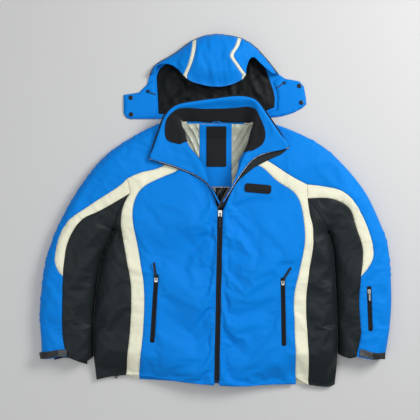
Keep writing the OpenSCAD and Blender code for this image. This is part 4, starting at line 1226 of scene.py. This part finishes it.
# %% Tapes and coil of the closed zips
def ends_of(line):
    """Start, end and width of a long straight outline."""
    p = np.array(line)
    middle = p.mean(0)
    axis = np.linalg.svd(p - middle)[2][0]
    axis = axis if axis[1] > 0 else -axis
    along, across = (p - middle) @ axis, (p - middle) @ np.array([axis[1], -axis[0]])
    centre = middle + np.array([axis[1], -axis[0]]) * (across.max() + across.min()) / 2
    return centre + axis * along.min(), centre + axis * along.max(), np.ptp(across)


def ribbon(name, path, width, material, crown=0.4 * MM, thick=1.0 * MM, columns=7):
    """A woven band: its top is slightly arched and its edges are round."""
    path = np.array(path, float)
    rows = []
    for i, p in enumerate(path):
        forward = path[min(i + 1, len(path) - 1)] - path[max(i - 1, 0)]
        side_way = np.cross(forward, (0, 0, 1))
        side_way /= np.linalg.norm(side_way)
        top = [p + side_way * width / 2 * u + np.array([0, 0, crown * (1 - u * u)])
               for u in np.linspace(1, -1, columns)]
        under = [p + side_way * width / 2 * u * 0.97 - np.array([0, 0, thick]) for u in np.linspace(-1, 1, 3)]
        rows.append(top + under)
    made = grid_mesh(name, rows, material, loop_columns=True)
    mesh = bmesh.new()
    mesh.from_mesh(made.data)
    open_ends = [e for e in mesh.edges if len(e.link_faces) == 1]
    bmesh.ops.holes_fill(mesh, edges=open_ends)
    bmesh.ops.recalc_face_normals(mesh, faces=mesh.faces)
    mesh.to_mesh(made.data)
    mesh.free()
    return made


def closed_zip(name, node):
    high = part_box(node)[1].z if node != "front_zip_tapes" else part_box("pocket_zip_right")[1].z
    pieces, gap_ends = [], []
    for k, line in enumerate(cut_lines(node, high)):
        start, end, width = ends_of(line)
        steps = np.linspace(0, 1, max(8, int(np.linalg.norm(end - start) / (8 * MM))))
        path = [(*(start + (end - start) * t), high - 0.3 * MM) for t in steps]
        pieces.append(ribbon(f"{name}_{k}", path, width, black_tape))
        gap_ends.append((start, end))
    (a, b), (c, d) = gap_ends[:2]
    coil = [[(*((a + c) / 2 + ((b + d) - (a + c)) / 2 * t), high - 0.75 * MM) for t in np.linspace(0, 1, 60)]]
    pieces.append(repeated(name + "_coil", coil, 1.45 * MM, (1.0 * MM, 3.0 * MM, 1.0 * MM), plastic_black))
    zip_piece = joined(name, pieces)
    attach(zip_piece, "jacket")
    return zip_piece

# %% Close the four zips
front_zip = closed_zip("front_zip_closed", "front_zip_tapes")
for node in ("pocket_zip_right", "pocket_zip_left", "sleeve_zip"):
    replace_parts(closed_zip(node + "_closed", node), node)

# %% The open part of the front zip, from the slider to the collar's corners
open_rows = 6
branches, teeth_paths = [], []
for side_sign, line, rise in ((-1, free_line[:open_rows], 0.6 * MM),
                              (1, free_line[::-1][:open_rows], 1.6 * MM)):
    path = finer(line, 8)
    path[:, 2] += rise
    forward = np.gradient(path, axis=0)
    out = np.column_stack([forward[:, 1], -forward[:, 0], 0 * path[:, 2]]) * -side_sign
    out /= np.linalg.norm(out, axis=1)[:, None]
    out *= -1
    branches.append(ribbon("branch", path + out * 1.6 * MM + (0, 0, 0.6 * MM), 4.6 * MM, black_tape))
    teeth_paths.append(path + out * 0.9 * MM + (0, 0, 2.0 * MM))
open_tapes = joined("front_zip_open", branches)
dress(open_tapes, "jacket", "zip_tape", "front_zip_tapes")
teeth = repeated("front_zip_teeth", teeth_paths, 1.5 * MM, (1.15 * MM, 2.6 * MM, 1.3 * MM), tooth_metal)
dress(teeth, "jacket", "zip_coil", "front_zip_coil")
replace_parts(front_zip, "front_zip_tapes")
print("zip teeth:", len(teeth.data.polygons), "faces")

# %% [markdown]
# ## The hood
# The hood lies above the collar, zipped on at the back. Its crown is puffed up over a flat back, its brim falls
# forward in a soft roll, and two wings with studs reach out at the sides. Crown and back meet along the rim and
# are welded there. A black lining hangs under the crown and covers the back.

# %% Heights of the crown
crown_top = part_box("hood_centre")[1].z
wing_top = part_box("hood_eyelets")[1].z - 0.8 * MM
hood_sides = ["hood_side_right", "hood_side_left"]
base = Cloth(["hood_centre", *hood_sides], 0.0, 7 * MM)
crown = Cloth(["hood_centre", *hood_sides, "hood_trims"], crown_top, 5.5 * MM)
wings = Cloth(hood_sides, wing_top, 5 * MM)
base_rim = base.flat[base.rim]
edge_rise = 4 * MM

on_rim = np.array([i for i in crown.rim if reach_to([crown.flat[i]], base_rim)[0][0] < 4 * MM
                   and crown.flat[i][1] > 0.352])
brim = np.array([i for i in crown.rim if i not in set(on_rim.tolist())])
from_rim = reach_to(crown.flat, crown.flat[on_rim])[0]
from_brim = reach_to(crown.flat, crown.flat[brim])[0]


def creases(points, scale_x, scale_y, seed, slant=0.0):
    """Soft ridges, -1 to 1, longer along one direction than the other."""
    return np.array([noise.noise(Vector((x * scale_x + y * slant, y * scale_y - x * slant, seed)))
                     for x, y in points])


puff = cushion(from_rim, 62 * MM, 2.0)
crown_height = edge_rise + (crown_top - edge_rise - 6 * MM) * puff
crown_height *= 1 - 0.30 * (1 - eased(from_brim / 0.045)) * puff
crown_height += 4.5 * MM * creases(crown.flat, 34, 12, 4.0, 9) * eased(from_rim / 0.02)
crown_height += 2.6 * MM * creases(crown.flat, 80, 30, 9.0, 20) * eased(from_rim / 0.02)
crown_height += 1.4 * MM * (np.abs(creases(crown.flat, 60, 60, 2.0)) - 0.3) * eased(from_rim / 0.03)
crown_height[on_rim] = edge_rise
crown_points = np.column_stack([crown.flat, crown_height])

# %% Base, wings and the pieces of the hood
from_base_rim = reach_to(base.flat, crown.flat[on_rim])[0]
base_height = 1.2 * MM + (edge_rise - 1.2 * MM) * (1 - eased(from_base_rim / 0.02))
base_height[base.rim] = np.maximum(base_height[base.rim], 2.0 * MM)
base_points = np.column_stack([base.flat, base_height])

outer_rim = [i for i in wings.rim if reach_to([wings.flat[i]], base_rim)[0][0] < 0.3 * MM]
from_outer = reach_to(wings.flat, wings.flat[wings.rim])[0]
wing_height = 2.6 * MM + (wing_top - 2.6 * MM) * cushion(from_outer, 9 * MM)
wing_height += 1.1 * MM * creases(wings.flat, 45, 30, 6.0, 15) * eased(from_outer / 0.02)
wing_height[outer_rim] = 2.0 * MM
wing_points = np.column_stack([wings.flat, wing_height])
for node, material, slot in [("hood_centre", blue_cloth, "shell_blue"),
                             ("hood_side_right", blue_cloth, "shell_blue"),
                             ("hood_side_left", blue_cloth, "shell_blue"),
                             ("hood_trims", cream_cloth, "stripe_cream")]:
    parts = [panel_part(crown, crown_points, node, 1)]
    if node != "hood_trims":
        parts.append(panel_part(base, base_points, node, -1))
    if node in hood_sides:
        parts.append(panel_part(wings, wing_points, node, 1))
    dress(sewn("cloth_" + node, parts, material, 1.6 * MM), "hood", slot, node)

# %% Lining under the crown and over the back
lining_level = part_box("hood_lining")[1].z
lined = Cloth(["hood_lining"], lining_level, 5 * MM)
from_lining_edge = reach_to(lined.flat, lined.flat[lined.rim])[0]
rumples = 5.0 * MM * creases(lined.flat, 48, 26, 7.0, 30) + 1.6 * MM * creases(lined.flat, 110, 70, 3.0, 50)
lining_height = lining_level + (4.0 * MM + rumples) * eased(from_lining_edge / 0.03)
under = np.unique(crown.faces)
under_points = crown_points.copy()
under_points[:, 2] -= 2.6 * MM + 2.0 * MM * puff
under_points[brim, 2] += 1.6 * MM
under_points[on_rim, 2] = edge_rise
hood_lining = sewn("hood_lining_cloth", [
    panel_part(lined, np.column_stack([lined.flat, lining_height]), "hood_lining", 1),
    (under_points, [[f[0], f[2], f[1]] for f in crown.faces.tolist()], np.zeros(len(crown.flat)))],
    lining_cloth, 0.8 * MM)
dress(hood_lining, "hood", "lining_black", "hood_lining")
print("hood: crown", round(crown_height.max() / MM), "mm high;", len(crown.faces), "triangles;",
      len(on_rim), "points on the rim and", len(brim), "on the brim")

# %% A lathe, and the centres of separate parts
def turned(name, profile, centre, material, sides=28):
    """A lathe piece from (radius, height) pairs."""
    rows = [[(centre[0] + r * math.cos(a), centre[1] + r * math.sin(a), z)
             for a in np.arange(sides) * 2 * math.pi / sides] for r, z in profile]
    made = grid_mesh(name, rows, material, loop_columns=True)
    mesh = bmesh.new()
    mesh.from_mesh(made.data)
    bmesh.ops.remove_doubles(mesh, verts=mesh.verts, dist=1e-7)
    bmesh.ops.recalc_face_normals(mesh, faces=mesh.faces)
    mesh.to_mesh(made.data)
    mesh.free()
    return made


def centres(node):
    """The middle and half width of each separate part of a CAD node."""
    mesh = welded(node)
    mesh.verts.ensure_lookup_table()
    seen, found = set(), []
    for vert in mesh.verts:
        if vert.index in seen:
            continue
        group, todo = [], [vert]
        seen.add(vert.index)
        while todo:
            here = todo.pop()
            group.append(here.co.copy())
            for edge in here.link_edges:
                other = edge.other_vert(here)
                if other.index not in seen:
                    seen.add(other.index)
                    todo.append(other)
        p = np.array(group)
        found.append(((p.min(0) + p.max(0)) / 2, np.ptp(p, 0) / 2))
    mesh.free()
    return found

# %% [markdown]
# Press studs and eyelets are turned parts, so each is a lathe profile of radius and height, swept round its
# own centre. The centres are read from the CAD nodes.

# %% Studs and eyelets
stud_pieces = []
for k, (middle, half) in enumerate(centres("hood_studs")):
    low, high, r = middle[2] - half[2], middle[2] + half[2], half[0]
    stud_pieces.append(turned(f"stud_{k}", [
        (1e-5, low - 1 * MM), (r, low - 1 * MM), (r, low + 0.7 * MM), (r - 0.5 * MM, low + 1.15 * MM),
        (r * 0.68, low + 1.2 * MM), (r * 0.62, low + 1.4 * MM), (r * 0.60, high - 0.3 * MM),
        (r * 0.54, high), (r * 0.42, high), (r * 0.38, high - 0.3 * MM), (r * 0.36, low + 1.3 * MM),
        (1e-5, low + 1.2 * MM)], middle, dark_metal))
dress(joined("hood_stud_row", stud_pieces), "hood", "stud_metal", "hood_studs")
eyelet_pieces = []
for k, (middle, half) in enumerate(centres("hood_eyelets")):
    low, high, r = middle[2] - half[2], middle[2] + half[2], half[0]
    hole = 1.5 * MM
    eyelet_pieces.append(turned(f"eyelet_{k}", [
        (hole, low), (hole, high - 0.35 * MM), (hole + 0.5 * MM, high + 0.1 * MM), (r - 0.7 * MM, high),
        (r, high - 0.6 * MM), (r * 0.9, high - 1.2 * MM), (r * 0.62, high - 1.2 * MM), (r * 0.62, low),
        (hole, low)],
        middle, dark_metal))
dress(joined("hood_eyelet_pair", eyelet_pieces), "hood", "stud_metal", "hood_eyelets")
print("press studs:", len(stud_pieces), "and eyelets:", len(eyelet_pieces))

# %% Braided draw cords
braid = Shader("cord_black", (0.013, 0.014, 0.016), 0.65, {"Sheen Weight": 0.2})
round_way, long_way, _ = braid.axes(braid.uv())
plait = ((round_way * 1500 + long_way * 2600).sine() * (round_way * 1500 - long_way * 2600).sine()) * 0.5 + 0.5
braid.feed("Base Color", braid.mixed(plait, (0.005, 0.005, 0.006, 1), (0.035, 0.038, 0.042, 1)))
braid.bump(plait, 0.3 * MM, 0.8)
cord_tubes = []
eyes = [middle for middle, _ in centres("hood_eyelets")]
for k, (middle, half) in enumerate(centres("hood_cords")):
    eye = min(eyes, key=lambda e: np.linalg.norm(e[:2] - middle[:2]))
    run = (middle - eye) * (1, 1, 0)
    start, end = eye, eye + run * (1 + np.linalg.norm(half[:2]) / np.linalg.norm(run))
    path = []
    for t in np.linspace(0, 1, 18):
        p = start + (end - start) * t
        height = wing_top + 1.2 * MM + 0.5 * MM * math.sin(math.pi * t)
        height -= 4 * MM * max(0, 0.12 - t) / 0.12 + 3 * MM * max(0, t - 0.9) / 0.1
        path.append((p[0], p[1] + 0.7 * MM * math.sin(9 * t), height))
    cord_tubes.append(tube(f"draw_{k}", path, 1.25 * MM, braid.material))
dress(joined("hood_draw_cords", cord_tubes), "hood", "cord_black", "hood_cords")

# %% The hood's half of its zip, along the collar's free edge
span = free_line[5:row_count - 5]
zip_path = finer(span, 8)
forward = np.gradient(zip_path, axis=0)
outward = np.column_stack([-forward[:, 1], forward[:, 0], 0 * forward[:, 0]])
outward /= np.linalg.norm(outward, axis=1)[:, None]
if (outward[len(outward) // 2][1]) < 0:
    outward *= -1
hood_zip = ribbon("hood_zip_band", zip_path + outward * 1.4 * MM + (0, 0, 0.4 * MM), 4.4 * MM, black_tape)
dress(hood_zip, "jacket", "zip_tape", "hood_zip_tape")
print("hood zip:", round(np.linalg.norm(np.diff(zip_path, axis=0), axis=1).sum() / MM), "mm long")

# %% [markdown]
# ## Sliders, pulls, badge and cuff straps
# The hard parts keep their CAD outline and gain soft edges. A slider is a body with a raised bridge; its pull
# is a moulded strip that hangs from the bridge. Each rides on its own CAD body, so that it can travel or swing.

# %% A hard part from its CAD solid, with soft edges
def bevelled_cad(name, node, body, slot, material, bevel=0.3 * MM):
    """The node's own solid with rounded edges and an even UV map."""
    mesh = welded(node)
    bmesh.ops.dissolve_limit(mesh, angle_limit=0.02, verts=mesh.verts, edges=mesh.edges)
    sharp = [e for e in mesh.edges if len(e.link_faces) == 2 and e.calc_face_angle() > 0.5]
    bmesh.ops.bevel(mesh, geom=sharp, offset=bevel, segments=2, profile=0.5, affect="EDGES", clamp_overlap=True)
    bmesh.ops.recalc_face_normals(mesh, faces=mesh.faces)
    bmesh.ops.triangulate(mesh, faces=[f for f in mesh.faces if len(f.verts) > 4])
    flat_map = mesh.loops.layers.uv.new("flat") if not mesh.loops.layers.uv else mesh.loops.layers.uv[0]
    for face in mesh.faces:
        face.smooth = True
        face.material_index = 0
        for loop in face.loops:
            loop[flat_map].uv = loop.vert.co.xy
    data = bpy.data.meshes.new(name)
    mesh.to_mesh(data)
    mesh.free()
    data.materials.append(material)
    made = bpy.data.objects.new(name, data)
    bpy.context.scene.collection.objects.link(made)
    edges = made.modifiers.new("edges", "WEIGHTED_NORMAL")
    edges.keep_sharp = False
    return dress(made, body, slot, node)

# %% Sliders, pulls, zip box and cord lock
for node, material, slot in [("front_slider", silver_metal, "slider_metal"),
                             ("pocket_slider_right", silver_metal, "slider_metal"),
                             ("pocket_slider_left", silver_metal, "slider_metal"),
                             ("sleeve_slider", silver_metal, "slider_metal"),
                             ("sleeve_pull", silver_metal, "slider_metal"),
                             ("front_pull", black_rubber, "pull_rubber"),
                             ("pocket_pull_right", black_rubber, "pull_rubber"),
                             ("pocket_pull_left", black_rubber, "pull_rubber")]:
    bevelled_cad(node + "_piece", node, node, slot, material)
for node, material, slot in [("front_zip_box", plastic_black, "plastic_black"),
                             ("hem_cord_lock", plastic_black, "plastic_black")]:
    body = "jacket" if node == "front_zip_box" else "hem_cord_lock"
    bevelled_cad(node + "_piece", node, body, slot, material, 0.8 * MM if body == "hem_cord_lock" else 0.3 * MM)

# %% Badge: a rubber plate with raised chevrons
badge_rubber = moulded("badge_rubber", (0.006, 0.007, 0.008), 0.5, 1400)
badge_low, badge_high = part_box("chest_badge")
plate_level = badge_low.z + 2 * MM
badge_line = max(cut_lines("chest_badge", badge_low.z), key=len)
badge_pieces = [slab("badge_base", [badge_line], badge_low.z - 1.5 * MM, plate_level, badge_rubber,
                     0.7 * MM, 3)]
for k, line in enumerate(cut_lines("chest_badge", badge_high.z)):
    badge_pieces.append(slab(f"chevron_{k}", [line], plate_level - 0.3 * MM, badge_high.z, badge_rubber,
                             0.2 * MM))
print("badge:", len(badge_pieces) - 1, "chevrons on a plate")
dress(joined("badge_plate", badge_pieces), "jacket", "badge_rubber", "chest_badge")

# %% Strap and loop finishes
strap = Shader("strap_rubber", (0.02, 0.022, 0.024), 0.4, {"Specular IOR Level": 0.5})
out_x, _, _ = strap.axes(strap.place())
hook_end = ((out_x.size() - 0.404) * 900).clamped()
grain = strap.cloud(strap.place(), 1100, 3)
strap.feed("Base Color", strap.mixed(hook_end, (0.055, 0.060, 0.064, 1), (0.010, 0.011, 0.012, 1)))
strap.feed("Roughness", (hook_end * 0.2 + grain * 0.2 + 0.22).clamped())
strap.bump(grain + (out_x * (2 * math.pi / (2.4 * MM))).sine() * 0.6, 0.3 * MM, 0.7)

# %% Straps and loop fields laid on the sleeves
def over_sleeve(gap, level, deepest):
    """Height change that lays a piece on the sleeve, following it down at the cuff's edge."""
    return lambda flat: np.maximum(height_over(front_tree, flat, 0.0) + gap - level, -deepest)


for side_name in ("right", "left"):
    node = "cuff_strap_" + side_name
    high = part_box(node)[1].z
    tab = small_cloth(node + "_tab", node, high, strap.material, 1.8 * MM, 3 * MM,
                      lift=over_sleeve(3.4 * MM, high, 14 * MM))
    dress(tab, node, "strap_rubber", node)
loops = Shader("loop_black", (0.010, 0.011, 0.012), 0.95, {"Sheen Weight": 0.3})
fuzz = loops.cloud(loops.place(), 1600, 4, 0.7)
loops.feed("Base Color", loops.mixed(fuzz, (0.004, 0.004, 0.005, 1), (0.03, 0.032, 0.035, 1)))
loops.bump(fuzz, 0.8 * MM, 0.9)
field_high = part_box("cuff_loop_fields")[1].z
fields = small_cloth("cuff_fields", "cuff_loop_fields", field_high, loops.material, 1.4 * MM, 3 * MM,
                     lift=over_sleeve(1.0 * MM, field_high, 16 * MM))
dress(fields, "jacket", "loop_black", "cuff_loop_fields")
print("loop fields:", len(fields.data.polygons), "faces before smoothing")

# %% The storm flap's band under the zip
band = Cloth(["storm_flap"], band_level, 5 * MM)
band_heights = np.minimum(height_over(front_tree, band.flat, 1.0) - 5.2 * MM, band_level)
band_part = panel_part(band, np.column_stack([band.flat, band_heights]), "storm_flap", 1)
dress(sewn("flap_band", [band_part], black_cloth, 0.8 * MM), "jacket", "shell_black", "storm_flap")
dress(wedge, "jacket", "shell_black", "storm_flap")

# %% [markdown]
# The cord leaves the hem, turns once and goes back in.

# %% The elastic cord at the hem
cord_low, cord_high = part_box("hem_cord")
cord_d = cord_high.z - cord_low.z
cord_x, cord_z, half_gap = (cord_low.x + cord_high.x) / 2, (cord_low.z + cord_high.z) / 2, (
    cord_high.x - cord_low.x - cord_d) / 2
bend_y = cord_low.y + cord_d / 2 + half_gap
loop_path = [(cord_x - half_gap, cord_high.y + (bend_y - cord_high.y) * t, cord_z)
             for t in np.linspace(0, 1, 24)]
loop_path += [(cord_x - half_gap * math.cos(a), bend_y - half_gap * math.sin(a), cord_z)
              for a in np.linspace(0, math.pi, 18)[1:-1]]
loop_path += [(cord_x + half_gap, y, cord_z) for _, y, _ in loop_path[:24][::-1]]
hem_loop = tube("hem_cord_loop", loop_path, cord_d / 2, braid.material, 12)
dress(hem_loop, "jacket", "cord_black", "hem_cord")

# %% [markdown]
# ## Stitches
# Topstitching runs beside the seams, the zips and the hem. It is drawn along lines offset inwards from the cut
# lines, dropped on the cloth, and given to the same Geometry Nodes tree, which repeats one small stitch.

# %% Stitch lines on the cloth
crown_tree = BVHTree.FromPolygons([tuple(p) for p in crown_points], crown.faces.tolist())


def stitch_paths(cloth, tree, node, offset, avoid, height_gap, from_above=True):
    """Runs of points beside a panel's cut lines, on the cloth, but not near the marks in avoid."""
    runs = []
    for line in cloth.lines[node]:
        ring = np.array(in_steps(line, 3 * MM))
        for _ in range(2):
            ring = (ring + np.roll(ring, 1, 0) + np.roll(ring, -1, 0)) / 3
        forward = np.roll(ring, -1, 0) - np.roll(ring, 1, 0)
        normal = np.column_stack([-forward[:, 1], forward[:, 0]])
        normal /= np.linalg.norm(normal, axis=1)[:, None]
        signed = (ring[:, 0] * np.roll(ring[:, 1], -1) - np.roll(ring[:, 0], -1) * ring[:, 1]).sum()
        path = ring + normal * offset * np.sign(signed)
        clear = (reach_to(path, avoid)[0] > 10 * MM) & (reach_to(path, ring)[0] > 0.8 * offset)
        run = []
        for p, ok in zip(path, clear):
            hit = tree.ray_cast(Vector((*p, 0.2 if from_above else -0.2)),
                                Vector((0, 0, -1 if from_above else 1)))
            if ok and hit[0] is not None:
                run.append((p[0], p[1], hit[0].z + (height_gap if from_above else -height_gap)))
            else:
                runs.append(run)
                run = []
        runs.append(run)
    return [run for run in runs if len(run) > 4]


def thread(name, colour):
    made = Shader(name, colour, 0.45, {"Sheen Weight": 0.1})
    twist = made.cloud(made.place(), 2500, 2)
    made.feed("Base Color", made.mixed(twist, tone(colour, 0.7), tone(colour, 1.3)))
    made.bump(twist, 0.1 * MM, 0.5)
    return made.material

# %% Stitches in three thread colours and on the hood
thread_colours = {"shell_blue": (0.0, 0.15, 0.55), "stripe_cream": (0.66, 0.62, 0.40),
                  "shell_black": (0.02, 0.024, 0.027)}
kinds_avoid = np.vstack([turns, cuffs])
stitch_size = (2.1 * MM, 0.55 * MM, 0.42 * MM)
made_stitches = []
for slot, colour in thread_colours.items():
    runs = []
    for node in front_nodes:
        word = "side" if node.startswith("side") else next(w for w in node.split("_") if w in finishes)
        if finishes[word][1] == slot:
            runs += stitch_paths(front, front_tree, node, 2.4 * MM, kinds_avoid, 0.15 * MM)
    if slot == "stripe_cream":
        runs += stitch_paths(back, back_tree, "back_trims", 2.4 * MM, back_turns, 0.15 * MM, False)
    if runs:
        row = repeated("stitches_" + slot, runs, 3.3 * MM, stitch_size, thread("thread_" + slot, colour))
        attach(row, "jacket")
        made_stitches.append(row)
hood_runs = stitch_paths(crown, crown_tree, "hood_trims", 1.9 * MM, crown.flat[on_rim], 0.15 * MM)
hood_runs += stitch_paths(crown, crown_tree, "hood_centre", 2.4 * MM, crown.flat[on_rim], 0.15 * MM)
if hood_runs:
    row = repeated("stitches_hood", hood_runs, 3.3 * MM, stitch_size, thread("thread_hood", (0.3, 0.36, 0.42)))
    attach(row, "hood")
    made_stitches.append(row)
print("stitches:", {o.name: sum(len(p.vertices) - 2 for p in o.data.polygons) for o in made_stitches})

# %% [markdown]
# ## Floor
# The floor is a plain pale sheet.

# %% Floor
stage_shader = Shader("floor", (0.62, 0.62, 0.61), 0.9, {"Specular IOR Level": 0.1})
stage_mesh = bpy.data.meshes.new("floor")
stage_mesh.from_pydata([(-6, -6, 0), (6, -6, 0), (6, 6, 0), (-6, 6, 0)], [], [(0, 1, 2, 3)])
stage_mesh.materials.append(stage_shader.material)
floor = bpy.data.objects.new("floor", stage_mesh)
bpy.context.scene.collection.objects.link(floor)
print("floor laid")
